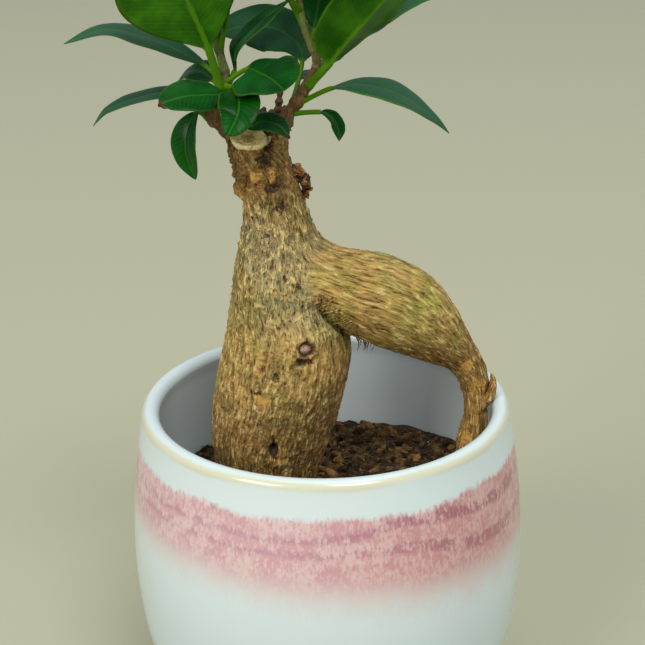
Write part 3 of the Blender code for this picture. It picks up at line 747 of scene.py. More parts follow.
def makeHairs(paint):
    # threads across the fold between trunk and side root, and a beard under it: random walks that sag
    draw = np.random.default_rng(hairs["seed"])
    count, steps = hairs["count"], hairs["steps"]
    bearded = np.arange(count) < hairs["bearded"]
    fold, beard = smoothLine(hairs["fold"], 8), smoothLine(hairs["beard"], 8)
    foot = fold[draw.integers(0, len(fold), count)]
    foot[bearded] = beard[draw.integers(0, len(beard), hairs["bearded"])]
    share = np.linspace(0, 1, steps)[None]
    turnBy = (draw.random((count, 1)) - 0.5) * 3
    down = draw.choice([-2.5, -2.0, 0.4], (count, 1))
    heading = np.where(bearded[:, None], -1.57, down) + turnBy * (share - 0.3)
    reach = (3.5 + 4.5 * draw.random((count, 1))) / steps
    walkX, walkZ = np.cumsum(np.cos(heading) * reach, 1), np.cumsum(np.sin(heading) * reach, 1)
    walk = np.stack([walkX, 0.5 * np.sin(share * 5 + turnBy), walkZ], -1)
    walk[~bearded] -= walk[~bearded][:, 4:5]
    centre = foot[:, None] + walk + 0.5 * (draw.random((count, 1, 3)) - 0.5)
    for _ in range(5):  # the threads across the fold are drawn onto the bark from in front
        gap = barkDistance(centre.reshape(-1, 3)).reshape(count, steps) - 0.35
        centre[..., 1] += np.where(bearded[:, None], 0, np.clip(gap, -2, 2))
    radius = (0.12 + 0.12 * draw.random((count, 1))) * (1.1 - share**2)
    rings = sweep(np.concatenate([centre, radius[..., None]], axis=-1), (0.05, 1, 0.03), 4)
    fields = {"grain": rings, "rootGrain": rings, "rootShare": 1, "hollowShade": 0.5,
              "dark": 0.25 + 0.5 * draw.random((count, 1, 1))}
    addTubes("rootHairs", rings, paint, (), fields)


barkFinish = barkPaint()
makeTrunk(barkFinish)
makeSawnFace(barkFinish)
makeFlap(barkFinish)
makeHairs(barkFinish)
print("trunk and side root grown")


# Growing medium: bark and coir

soil = {
    "edge": 79.5, "crown": 83.0, "heaped": 2.6, "gap": 0.6, "topRings": 90, "segments": 300,
    "chips": 1500, "fibres": 420, "seed": 7,
    "dark": srgb(46, 33, 20), "brown": srgb(126, 92, 50),
    "rust": srgb(160, 112, 60), "ash": srgb(176, 176, 160),
}


def soilHeight(x, y):
    # a low mound, edge + drop cos(pi r / 2R), with clods of noise, heaped towards the side root
    wall = innerWall(3)
    edgeRadius = np.interp(soil["edge"], wall[:, 1], wall[:, 0])
    mound = (soil["crown"] - soil["edge"]) * np.cos(np.clip(np.hypot(x, y) / edgeRadius, 0, 1) * np.pi / 2)
    flat = np.stack([x, y, 0 * x], axis=-1)
    return soil["edge"] + mound + roughNoise(flat, 7, 61, 4) * 1.5 + soil["heaped"] * ease(x, 0, 50)


def soilPaint():
    # dark crumbs with brown, then rust on the paler pieces and ash on the few palest
    p = Paint("growingMedium")
    shade = p.field("shade")
    speckle = p.noise(p.place(), 700, 4, 0.65)
    colour = p.layers(
        soil["dark"],
        (p.step(speckle * 0.9 + shade * 0.5 - 0.2, 0.36, 0.7), soil["brown"]),
        (p.step(shade + (speckle - 0.5) * 0.8, 0.78, 1.0) * 0.75, soil["rust"]),
        (p.step(shade, 0.983, 0.988), soil["ash"]),
    )
    return p.finish({"Base Color": colour, "Roughness": 0.9, "Specular IOR Level": 0.3,
                     "Normal": p.bump(speckle, 0.8, 0.0008)})


def makeSoil(paint):
    # the inner wall's profile less a gap, turned about Z, closed by a top that follows soilHeight
    wall = innerWall(3)
    edgeRadius = np.interp(soil["edge"], wall[:, 1], wall[:, 0]) - soil["gap"]
    side = wall[wall[:, 1] < soil["edge"] - 4] - [soil["gap"], -soil["gap"]]
    count = soil["topRings"]
    top = np.stack([edgeRadius * np.linspace(1, 0.015, count) ** 0.8, np.full(count, soil["crown"])], axis=-1)
    profile = np.vstack([[(8, pot["floor"] + soil["gap"])], side, top])
    rings = turnProfile(profile, soil["segments"])
    surface = rings[-count:]
    surface[..., 2] = soilHeight(surface[..., 0], surface[..., 1])
    shade = np.full(rings.shape[:2], 0.35)
    shade[-count:] = 0.42 + 0.25 * valueNoise(surface, 3.5, 62)
    addTubes("soilBed", rings, paint, ["soil"], {"shade": shade})


def spread(draw, count, reach):
    # even over a disc: radius reach sqrt(u), any angle; those inside the trunk or the side root are left out
    radius, angle = reach * np.sqrt(draw.random(count * 2)), 2 * np.pi * draw.random(count * 2)
    x, y = radius * np.cos(angle), radius * np.sin(angle)
    clear = (np.hypot(x + 20.5, y) > 15.5) & (np.hypot(x - 46.5, y) > 5)
    return x[clear][:count], y[clear][:count]


def turns(draw, count, lean):
    # rotation matrices: any way round Z, then tilts of up to lean about X and Y
    a = draw.random(count) * 2 * np.pi
    b, c = ((draw.random(count) - 0.5) * 2 * lean for _ in range(2))
    one, none = np.ones(count), np.zeros(count)

    def matrix(*rows):  # one 3 x 3 matrix for each chip, from rows of whole arrays
        return np.stack([np.stack(row, axis=-1) for row in rows], axis=-2)

    about = matrix((np.cos(a), -np.sin(a), none), (np.sin(a), np.cos(a), none), (none, none, one))
    tipX = matrix((one, none, none), (none, np.cos(b), -np.sin(b)), (none, np.sin(b), np.cos(b)))
    tipY = matrix((np.cos(c), none, np.sin(c)), (none, one, none), (-np.sin(c), none, np.cos(c)))
    return about @ tipX @ tipY


def makeChips(paint):
    # each chip is a squared ellipsoid of 4 rings of 6 points, made uneven, scaled, turned and set down
    draw = np.random.default_rng(soil["seed"])
    x, y = spread(draw, soil["chips"], 58.3)
    count = len(x)
    polar, turn = np.linspace(0.35, np.pi - 0.35, 4)[:, None], np.linspace(0, 2 * np.pi, 6, endpoint=False)
    ball = [np.sin(polar) * np.cos(turn), np.sin(polar) * np.sin(turn), np.cos(polar) + 0 * turn]
    ball = np.stack(ball, axis=-1)
    ball = np.sign(ball) * np.abs(ball) ** 0.7
    shapes = ball[None] * (1 + 0.28 * (draw.random((count, 4, 6, 1)) - 0.5) * 2)
    length = 0.7 + 2.3 * draw.random(count) ** 2.6
    wide, thick = length * (0.35 + 0.45 * draw.random(count)), length * (0.2 + 0.3 * draw.random(count))
    size = np.stack([length, wide, thick], axis=-1)
    moved = np.einsum("nij,nrcj->nrci", turns(draw, count, 0.6), shapes * size[:, None, None])
    centre = np.stack([x, y, soilHeight(x, y) + thick * 0.35], axis=-1)
    shade = draw.random(count)
    shade = np.where(length > 1.5, np.minimum(shade, 0.95), shade)
    rings = moved + centre[:, None, None]
    away = np.hypot(rings[..., 0], rings[..., 1])
    rings[..., :2] *= np.minimum(1, 60.2 / away)[..., None]
    addTubes("soilChips", rings, paint, (), {"shade": shade[:, None, None]}, flat=True)


def makeFibres(paint):
    # thin bent threads: a slow turn along each, three-sided rings, thinner at the ends
    draw = np.random.default_rng(soil["seed"] + 1)
    x, y = spread(draw, soil["fibres"], 54)
    count, steps = len(x), 7
    share = np.linspace(0, 1, steps)[None]
    heading = draw.random((count, 1)) * 2 * np.pi + (draw.random((count, 1)) - 0.5) * 3 * share
    length = (4 + 9 * draw.random((count, 1))) / steps
    placeX = x[:, None] + np.cumsum(np.cos(heading) * length, 1)
    placeY = y[:, None] + np.cumsum(np.sin(heading) * length, 1)
    away = np.maximum(np.hypot(placeX, placeY) / 58.5, 1)
    placeX, placeY = placeX / away, placeY / away
    arch = (0.4 + 1.6 * draw.random((count, 1))) * np.sin(np.pi * share)
    placeZ = soilHeight(placeX, placeY) + 0.5 + arch
    radius = (0.13 + 0.14 * draw.random((count, 1))) * (1.05 - share**2)
    rings = sweep(np.stack([placeX, placeY, placeZ, radius], axis=-1), (0.03, 0.02, 1), 3)
    shade = 0.35 + 0.45 * draw.random((count, 1, 1))
    addTubes("soilFibres", rings, paint, (), {"shade": shade})


soilFinish = soilPaint()
makeSoil(soilFinish)
makeChips(soilFinish)
makeFibres(soilFinish)
print("growing medium laid")


# Grafted shoots, with their buds and the dead twig

shoots = {
    "left": [
        (-27.6, 1.2, 208.6, 2.0), (-30.6, -1.6, 211.8, 2.1), (-33.4, -4, 215.6, 2.4), (-33.7, -5, 219.2, 2.5),
        (-31.8, -4, 222.4, 2.2), (-29.9, -3, 225.6, 1.8), (-29.5, -2, 229.7, 1.5), (-30.6, -1, 234.2, 1.4),
        (-31.4, 0, 239, 1.3), (-31.8, 1, 244.9, 1.2), (-31.6, 2, 251.5, 1.15), (-31, 3, 259.5, 1),
        (-30.2, 3.5, 268, 0.85), (-29.8, 4, 275, 0.7),
    ],
    "right": [
        (-12.1, 2, 211.3, 3), (-10.7, 3, 214.2, 2.8), (-9.1, 3, 217.1, 2.6), (-6.8, 3, 220.3, 2.3),
        (-4.6, 3, 223.8, 2), (-2.6, 3, 226.9, 1.8), (-1, 3, 230.3, 1.6), (-1.3, 3, 233.5, 1.4),
        (-2.8, 3, 237, 1.25), (-4.2, 3, 241, 1.2), (-5.4, 3, 245.7, 1.15), (-6.2, 4, 250.7, 1.1),
        (-7.3, 5, 258.5, 1), (-8, 5, 268, 0.85), (-8.6, 5.5, 277, 0.7),
    ],
}
twigs = {
    "wood": srgb(96, 68, 32), "red": srgb(118, 76, 36), "green": srgb(92, 108, 36),
    "deep": srgb(34, 22, 12), "pale": srgb(150, 122, 72),
    "sheath": srgb(128, 150, 60), "sheathTip": srgb(160, 96, 60), "budLength": 10,
    "scaleDark": srgb(62, 40, 24), "scaleBrown": srgb(138, 90, 52), "scaleTan": srgb(186, 134, 78),
    "scales": 22, "scaleSeed": 15,
    "stubs": [  # the dead twig, then dry ends between the two shoots, behind the sawn face
        [(-14.2, 6.5, 209.5, 1.5), (-13.4, 7, 216.5, 1.2), (-13, 7.2, 220.5, 1), (-12.6, 7.4, 224.2, 0.5)],
        [(-21.4, 2.4, 207.5, 1.6), (-19.8, 3.4, 212.5, 1.5), (-18.6, 4.4, 215.2, 1.5), (-17.8, 5.2, 217, 0.7)],
        [(-17.2, 2.4, 207.5, 1.6), (-16.2, 3.2, 212, 1.6), (-15.6, 4, 214.8, 1.3), (-15.6, 5, 216.2, 0.6)],
        [(-13.4, 2.2, 208.5, 1.7), (-12.4, 3, 212.6, 1.8), (-11.6, 3.6, 215.8, 1.5), (-11, 4.2, 217.6, 0.7)],
    ],
    "scaleStem": [
        (-10.0, 0, 199.0, 1.2), (-8.4, 0, 197.0, 1.4), (-6.5, 0.3, 194.4, 1.4), (-5.5, 0.3, 191.8, 1.1),
        (-6.6, 0, 189.4, 0.7),
    ],
}


def twigPaint():
    # brown bark turning green up the shoot, with pale and deep specks and dark rings at the leaf scars
    p = Paint("shootBark")
    place = p.place()
    specks = p.noise(p.stretch(place, (1, 1, 0.4)), 1300, 3, 0.6)
    patches = p.noise(place, 260, 2)
    colour = p.layers(
        twigs["wood"],
        (p.step(patches, 0.4, 0.62), twigs["red"]),
        (p.step(p.field("along") + (patches - 0.5) * 0.3, 0.2, 0.46), twigs["green"]),
        (p.step(specks, 0.54, 0.66) * 0.7, twigs["pale"]),
        ((1 - p.step(specks, 0.3, 0.46)) * 0.7, twigs["deep"]),
        (p.field("ring") * 0.6, twigs["deep"]),
    )
    return p.finish({"Base Color": colour, "Roughness": 0.6, "Normal": p.bump(specks, 0.6, 0.0004)})


def sheathPaint():
    # green turning red towards the tip, with fine streaks
    p = Paint("budSheath")
    place = p.place()
    ripe = p.step(p.field("along") + (p.noise(place, 500) - 0.5) * 0.5, 0.2, 1.0)
    colour = p.mix(ripe, twigs["sheath"], twigs["sheathTip"])
    streaks = p.noise(p.stretch(place, (1, 1, 0.15)), 1500, 2)
    return p.finish({"Base Color": colour, "Roughness": 0.42, "Normal": p.bump(streaks, 0.3, 0.0003)})


def scalePaint():
    # dark, brown and tan patches, lighter on some flakes than on others
    p = Paint("dryScales")
    patches, shade = p.noise(p.place(), 420, 3), p.field("shade")
    colour = p.layers(
        twigs["scaleDark"],
        (p.step(patches + shade * 0.5 - 0.2, 0.34, 0.6), twigs["scaleBrown"]),
        (p.step(patches + shade * 0.3, 0.66, 0.8), twigs["scaleTan"]),
    )
    return p.finish({"Base Color": colour, "Roughness": 0.7, "Normal": p.bump(patches, 0.6, 0.0005)})


def shootLine(name):
    # a shoot's axis with its radius
    return smoothLine(shoots[name], 14)


def makeShoot(name, paint):
    # the axis swept by a circle whose radius swells at leaf scars and, near the foot, in woody knots
    line = shootLine(name)
    lengths = lengthsAlong(line)
    where = np.linspace(0, lengths[-1], int(lengths[-1] / 0.42))
    line = readLine(line, where)
    share = where / where[-1]
    beat = np.pi * where / (2.6 + 3.4 * share)
    scars = bell(np.sin(beat), 0.28) * (1 - share) ** 0.5
    rings = sweep(line, (0.1, -1, 0), 28)
    knots = (roughNoise(rings, 3.2, 71) * 0.75 - 0.16) * (1 - ease(share, 0.06, 0.28))[:, None]
    factor = 1 + 0.13 * scars[:, None] + knots + 0.05 * valueNoise(rings, 1.3, 72)
    rings = swell(line, rings, factor[..., None])
    fields = {"along": share[:, None], "ring": (bell(np.sin(beat + 0.35), 0.16) * (1 - share))[:, None]}
    addTubes(name + "Shoot", rings, paint, ["shoot_" + name], fields)


def makeBud(name, paint):
    # a pointed spindle on the shoot's tip, twisted like a rolled leaf, whose one edge laps over the other
    line = shootLine(name)
    tip, along = line[-1, :3], unit(line[-1:, :3] - line[-3:-2, :3])[0]
    share = np.linspace(0, 1, 40)
    radius = line[-1, 3] * (0.95 + 0.45 * np.sin(np.pi * np.minimum(share * 1.5, 1)) - 0.93 * share**1.1)
    axis = tip + along * (share * twigs["budLength"])[:, None] + [0.35, 0, 0] * (share**2)[:, None]
    turn = np.linspace(0, 1, 24, endpoint=False)
    lap = 1 + 0.12 * ((turn + share[:, None] * 0.35) % 1)
    axis = np.column_stack([axis, radius])
    rings = swell(axis, sweep(axis, (0, -1, 0), 24), lap[..., None])
    addTubes(name + "Bud", rings, paint, ["bud_" + name], {"along": share[:, None]})


def makeDeadTwig(paint):
    # dry stubs, knotted like strings of beads: radius (1 + sine along the stub + noise)
    rings = []
    for rows in twigs["stubs"]:
        line = smoothLine(rows, 16)
        tube = sweep(line, (0.1, -1, 0), 20)
        knots = 1 + 0.22 * np.sin(lengthsAlong(line) * 2.3)[:, None] + 0.4 * roughNoise(tube, 1.8, 81)
        rings.append(swell(line, tube, knots[..., None]))
    rings = np.stack(rings)
    fields = {"along": 0, "ring": 0.6 + 0.5 * valueNoise(rings, 1.5, 82)}
    addTubes("deadTwig", rings, paint, ["dry_twig"], fields)


def makeScales(paint):
    # crumpled flakes round a short stem: cupped ovals, sin(pi share) wide, each standing off at its own slant
    draw = np.random.default_rng(twigs["scaleSeed"])
    line = smoothLine(twigs["scaleStem"], 8)
    count, steps, sides = twigs["scales"], 9, 12
    at = readLine(line, np.linspace(0.08, 1, count) * lengthsAlong(line)[-1])[:, None, None]
    share = np.linspace(0.02, 1, steps)[None, :, None]
    turn = np.linspace(0, 2 * np.pi, sides, endpoint=False)[None, None]
    swing = draw.random((count, 1, 1)) * 2.6 - 1.75
    slant = (draw.random((count, 1, 1)) * 1.9 - 0.75)[..., None]
    outward = np.stack([np.cos(swing), np.sin(swing), 0 * swing], axis=-1)
    forward = unit(outward * np.cos(slant) - np.array([0, 0, 1.0]) * np.sin(slant))
    crumple = 1.6 * (draw.random((count, 1, 1, 3)) - 0.5)
    across = unit(np.cross(forward, outward * 0.3 + [0.1, 0.1, 0.9] + crumple))
    facing = np.cross(across, forward)
    length = 1.7 + 1.5 * draw.random((count, 1, 1))
    wide = length * 0.62 * np.sin(np.pi * np.clip(share, 0, 0.94) ** 0.8) ** 0.7
    flatX = (wide * np.cos(turn))[..., None]
    thick = (0.12 * np.sin(turn))[..., None] + 0.2 * flatX**2
    curl = (length * (share - 0.15))[..., None]
    rings = at[..., :3] + outward * at[..., 3:4] * 0.3 + forward * curl
    rings = rings + facing * 0.6 * curl * share[..., None] + across * flatX + facing * thick
    rings = rings + 0.5 * np.stack([valueNoise(rings, 1.0, 90 + k) for k in range(3)], axis=-1)
    shade = np.broadcast_to(draw.random((count, 1, 1)), rings.shape[:3])
    stem = sweep(line, (0.1, -1, 0), sides)
    stem = swell(line, stem, (1 + 0.35 * valueNoise(stem, 1.2, 95))[..., None])
    picked = np.linspace(0, len(stem) - 1, steps).astype(int)  # as many of the stem's rings as a flake has
    rings = np.concatenate([rings, stem[picked][None]])
    shade = np.concatenate([shade, np.full((1, steps, sides), 0.2)])
    addTubes("budScales", rings, paint, ["dry_bud_scales"], {"shade": shade})


twigFinish, sheathFinish = twigPaint(), sheathPaint()
for name in shoots:
    makeShoot(name, twigFinish)
    makeBud(name, sheathFinish)
makeDeadTwig(twigFinish)
makeScales(scalePaint())
print("shoots grafted")


# Leaves: shoot, how far up it, midrib from base to tip, upper side's direction, half width, fold in degrees,
# stalk radius, and skyReflection, which is how much painted sky reflection turns the upper side blue-grey

leaves = {
    "front_left_tall": ("left", 0.29, [(-33.7, -8, 238.2), (-37.2, -12, 249), (-42, -16, 261),
        (-48.5, -20, 272.5), (-56.5, -24, 282)], (-0.2, 0.97, 0.1), 19.5, 6, 1.5, 0.0),
    "left_long": ("left", 0.32, [(-35.5, 2, 231.1), (-46.2, 6, 236.0), (-56.8, 8, 239.9),
        (-67.3, 8, 241.8), (-79.8, 6, 238)], (0.1, -0.1, 0.98), 8.8, 8, 0.9, 1.0),
    "left_low": ("left", 0.22, [(-36.3, 3, 222.1), (-45.9, 5, 222.7), (-55, 4, 221.9),
        (-64.4, 2, 219.2), (-71.7, 0, 215.4)], (-0.1, -0.08, 0.98), 6.8, 6, 0.9, 0.9),
    "left_torn": ("left", 0.27, [(-29, -9, 224.5), (-35.1, -13, 225.5), (-41.5, -16, 225.7),
        (-48.8, -20, 224.4)], (-0.05, -0.55, 0.82), 7.5, 8, 1, 0.1),
    "left_behind": ("left", 0.28, [(-33.5, 6, 225.4), (-38.2, 12, 227.4), (-42.4, 16, 226.4),
        (-45.9, 19, 222.8)], (-0.1, -0.35, 0.92), 6.4, 8, 0.9, 0.4),
    "left_hanging": ("left", 0.15, [(-38, -7, 218.8), (-40.9, -10, 215.2), (-41.9, -12, 208),
        (-39.3, -12, 198.7)], (-0.62, -0.62, 0.42), 6, 16, 0.9, 0.0),
    "front_fold": ("left", 0.31, [(-26.8, -9, 226.6), (-24.8, -18, 226.2), (-24.7, -25, 222.5),
        (-27.8, -27, 216.4)], (0.05, -0.55, 0.83), 6.6, 12, 1, 0.0),
    "centre_round": ("left", 0.33, [(-22.4, -6.5, 231.8), (-18.4, -12, 231.8), (-14.3, -18, 230.9),
        (-10.8, -23.5, 229)], (0.1, -0.72, 0.68), 11.4, 6, 0.9, 0.1),
    "back_arch": ("right", 0.12, [(-5.7, 9, 230.4), (-7.4, 13, 236), (-14.2, 16, 239.6),
        (-23.8, 16, 240.6), (-31.9, 14, 238.8)], (0.12, -0.55, 0.83), 11, 6, 0.9, 0.8),
    "centre_narrow": ("left", 0.29, [(-26.7, -1, 229.8), (-25.8, -1, 237.2), (-19.6, 2, 243.3),
        (-8.4, 8, 250.7)], (-0.45, -0.25, 0.86), 6, 12, 1, 0.1),
    "edge_on": ("left", 0.47, [(-29.6, -1.5, 241.4), (-27.9, -1.5, 248.4), (-26.8, -2.5, 260),
        (-24.5, -4, 274)], (-0.97, 0.1, 0.2), 7, 14, 1, 0.2),
    "right_inner": ("right", 0.58, [(-8, 0, 250.7), (-11.5, -5, 257), (-16.5, -10, 265),
        (-22, -14, 270)], (-0.2, 0.4, 0.9), 8, 10, 1, 0.0),
    "right_dark": ("right", 0.44, [(-1.8, 6, 240.7), (-0.4, 9, 247.3), (2.5, 11, 262),
        (5.5, 13, 274)], (-0.35, -0.75, 0.56), 9.5, 12, 1, 0.1),
    "right_tall": ("right", 0.22, [(2.8, -1, 232.0), (6.2, -3, 236.8), (11.4, -6, 243.3),
        (23.2, -10, 257.4), (33, -14, 270)], (-0.51, 0.67, 0.53), 16.5, 18, 1.5, 0.0),
    "right_far": ("right", 0.29, [(4.1, 9, 234), (12.8, 13, 240.7), (23, 16, 246.2),
        (33.2, 18, 249.5), (43.3, 18, 249)], (-0.2, -0.25, 0.95), 9, 8, 1, 0.5),
    "right_long": ("right", 0.14, [(3.2, 0, 223.9), (11.6, -2, 225.6), (20.8, -4, 224.1),
        (30, -6, 219.6), (39.7, -7, 211.9)], (0.15, -0.1, 0.98), 10, 6, 0.9, 1.0),
    "right_small": ("right", 0.08, [(-0.3, 1, 216.2), (2.8, 0, 215.3), (4.9, -1, 212.6),
        (5.6, -3, 207.8)], (0.62, -0.4, 0.67), 3.9, 14, 0.9, 0.1),
    "collar": ("left", 0.27, [(-23.2, -11.5, 215.6), (-17.4, -13.0, 217.2), (-12.8, -13.6, 215.6),
        (-9.6, -14.6, 212.0)], (0.2, -0.4, 0.9), 5, 8, 0.8, 0.2),
    "small_behind": ("right", 0.22, [(-2.7, 11, 225.1), (-5.6, 15, 224.6), (-8.8, 18, 223.3),
        (-12.5, 20, 220.3)], (-0.1, -0.2, 0.97), 5.2, 8, 0.8, 0.3),
    "left_top": ("left", 0.8, [(-38, 3, 267), (-48, 3, 273), (-58, 2, 273), (-68, 0, 267)],
        (0, -0.1, 1), 9, 10, 1, 0.3),
    "left_back_top": ("left", 0.7, [(-35, 14, 262), (-38, 26, 268), (-41, 38, 268), (-43, 48, 262)],
        (0, -0.2, 0.98), 10, 10, 1, 0.3),
    "left_crown": ("left", 0.92, [(-28, 1, 280), (-24, -2, 288), (-17, -6, 293), (-9, -10, 293)],
        (-0.5, 0.4, 0.75), 9.5, 12, 0.9, 0.1),
    "left_top_front": ("left", 0.86, [(-28, -5, 271), (-22, -12, 279), (-16, -21, 282), (-12, -29, 279)],
        (-0.1, 0.1, 0.98), 7.5, 12, 1, 0.2),
    "left_back_low": ("left", 0.42, [(-36, 14, 241), (-41, 24, 244), (-47, 34, 242), (-52, 43, 235)],
        (0, -0.2, 0.98), 9, 8, 1, 0.3),
    "right_top": ("right", 0.8, [(0, 5, 269), (10, 4, 276), (20, 2, 279), (30, 0, 276)],
        (0.1, -0.1, 1), 9, 10, 1, 0.2),
    "right_back_top": ("right", 0.74, [(-6, 18, 268), (-4, 29, 272), (-1, 41, 271), (2, 51, 265)],
        (0, -0.2, 0.98), 10, 10, 1, 0.3),
    "right_crown": ("right", 0.94, [(-10, 11, 281), (-13, 18, 288), (-18, 25, 293), (-25, 31, 294)],
        (0.3, -0.5, 0.8), 9.5, 12, 0.9, 0.1),
    "right_top_front": ("right", 0.88, [(-3, -2, 276), (2, -9, 284), (8, -17, 288), (15, -24, 286)],
        (0.1, 0.1, 0.98), 9.5, 12, 1, 0.2),
    "back_middle": ("right", 0.5, [(-13, 16, 256), (-18, 25, 259), (-23, 35, 257), (-27, 44, 250)],
        (0, -0.1, 0.99), 8, 8, 1, 0.3),
}
leafLook = {
    "sheet": 0.17, "stalkRows": 14, "bladeRows": 50, "half": 16,
    "upper": srgb(0, 58, 2), "upperLight": srgb(1, 86, 8), "skyReflection": srgb(50, 92, 66),
    "under": srgb(34, 90, 0), "underLight": srgb(60, 122, 2), "rib": srgb(70, 132, 26),
    "margin": srgb(92, 124, 20), "stalk": srgb(84, 136, 8), "brown": srgb(86, 62, 28),
    "glow": srgb(74, 140, 0), "glowShare": 0.11, "veinGap": 1.5,
    "outline": (0.94, 1.05),  # where the blade is widest, and how drawn out its ends are
    "outlines": {
        "front_left_tall": (1.0, 0.95), "right_tall": (0.82, 0.72), "centre_round": (0.95, 0.58),
        "front_fold": (1.1, 0.5), "left_torn": (0.95, 0.58), "collar": (0.95, 0.85),
        "left_behind": (0.95, 0.7), "left_hanging": (0.95, 0.72), "back_arch": (1.0, 0.78),
        "small_behind": (0.95, 0.75), "right_small": (0.95, 0.8), "left_long": (0.9, 0.85),
        "right_long": (0.85, 0.85), "left_low": (0.9, 0.85), "right_far": (0.94, 0.85),
    },
    "hooks": {"left_low": 3.0, "right_long": 1.4},  # how far the tip droops
    "torn": {"left_torn": (0.88, 0.75), "collar": (0.93, 0.5)},  # from where, and how deep
}


def leafPaint():
    # dark upper side and paler under side, with veins, rib and margin, green stalk and brown torn edge
    p = Paint("leafGreen")
    blade = p.fieldVector("blade")
    across, along, _ = p.split(blade)
    upper, edge, stalk, skyReflection, dry = (p.field(name) for name in ("upper", "edge", "stalk", "skyReflection", "dry"))
    away = p.maths("ABSOLUTE", across)
    patches, fine = p.noise(blade, 120, 3), p.noise(blade, 900, 2)
    # side veins leave the midrib at a slant and repeat every vein gap
    slant = along - away * 0.55 + (patches - 0.5) * 1.6
    wave = p.maths("SINE", slant * (2 * math.pi / leafLook["veinGap"])) * 0.5 + 0.5
    veins = p.step(wave, 0.6, 1.0) * p.step(away, 0.3, 1.2)
    rib, blotch = 1 - p.step(away, 0.16, 0.5), p.step(patches, 0.35, 0.7)
    # painted reflection: the skyReflection share lays a blue-grey reflection of the sky over the upper side
    top = p.layers(leafLook["upper"], (blotch, leafLook["upperLight"]), (skyReflection * 0.8, leafLook["skyReflection"]),
                   (veins * 0.1, leafLook["rib"]), (rib * 0.4, leafLook["rib"]))
    below = p.layers(leafLook["under"], (blotch, leafLook["underLight"]), (veins * 0.1, leafLook["stalk"]))
    brown = p.step(dry + (fine - 0.5) * 0.5, 0.35, 0.7)
    colour = p.layers(below, (upper, top), (edge * 0.7, leafLook["margin"]), (stalk, leafLook["stalk"]),
                      (brown, leafLook["brown"]))
    rough = 0.27 + (1 - upper) * 0.2 + skyReflection * 0.16 + patches * 0.08
    return p.finish({"Base Color": colour, "Roughness": rough, "Specular IOR Level": 0.15,
                     "Normal": p.bump(veins * -0.5 + fine * 0.2, 0.2, 0.0002)},
                    glow=(leafLook["glow"], leafLook["glowShare"]))


def shootPoint(shoot, share):
    # place, direction and radius of a shoot at a share of its length
    line = shootLine(shoot)
    total = lengthsAlong(line)[-1]
    here, ahead, behind = readLine(line, np.array([share * total, share * total + 1, share * total - 1]))
    return here[:3], unit((ahead - behind)[None, :3])[0], here[3]


def halfWidth(share, half, outline):
    # an egg-shaped blade drawn out to a tip: half sin(pi share^lean)^point
    lean, point = outline
    return half * np.sin(np.pi * np.clip(share, 0, 0.985) ** lean) ** point


def ripple(share, seed, sign, beats, phase, slip):
    # a wave along a margin that runs out of step on its two sides: sin(beats share + phase seed + slip)
    return np.sin(share * beats + 1.7 * seed * phase + np.where(sign, *slip))


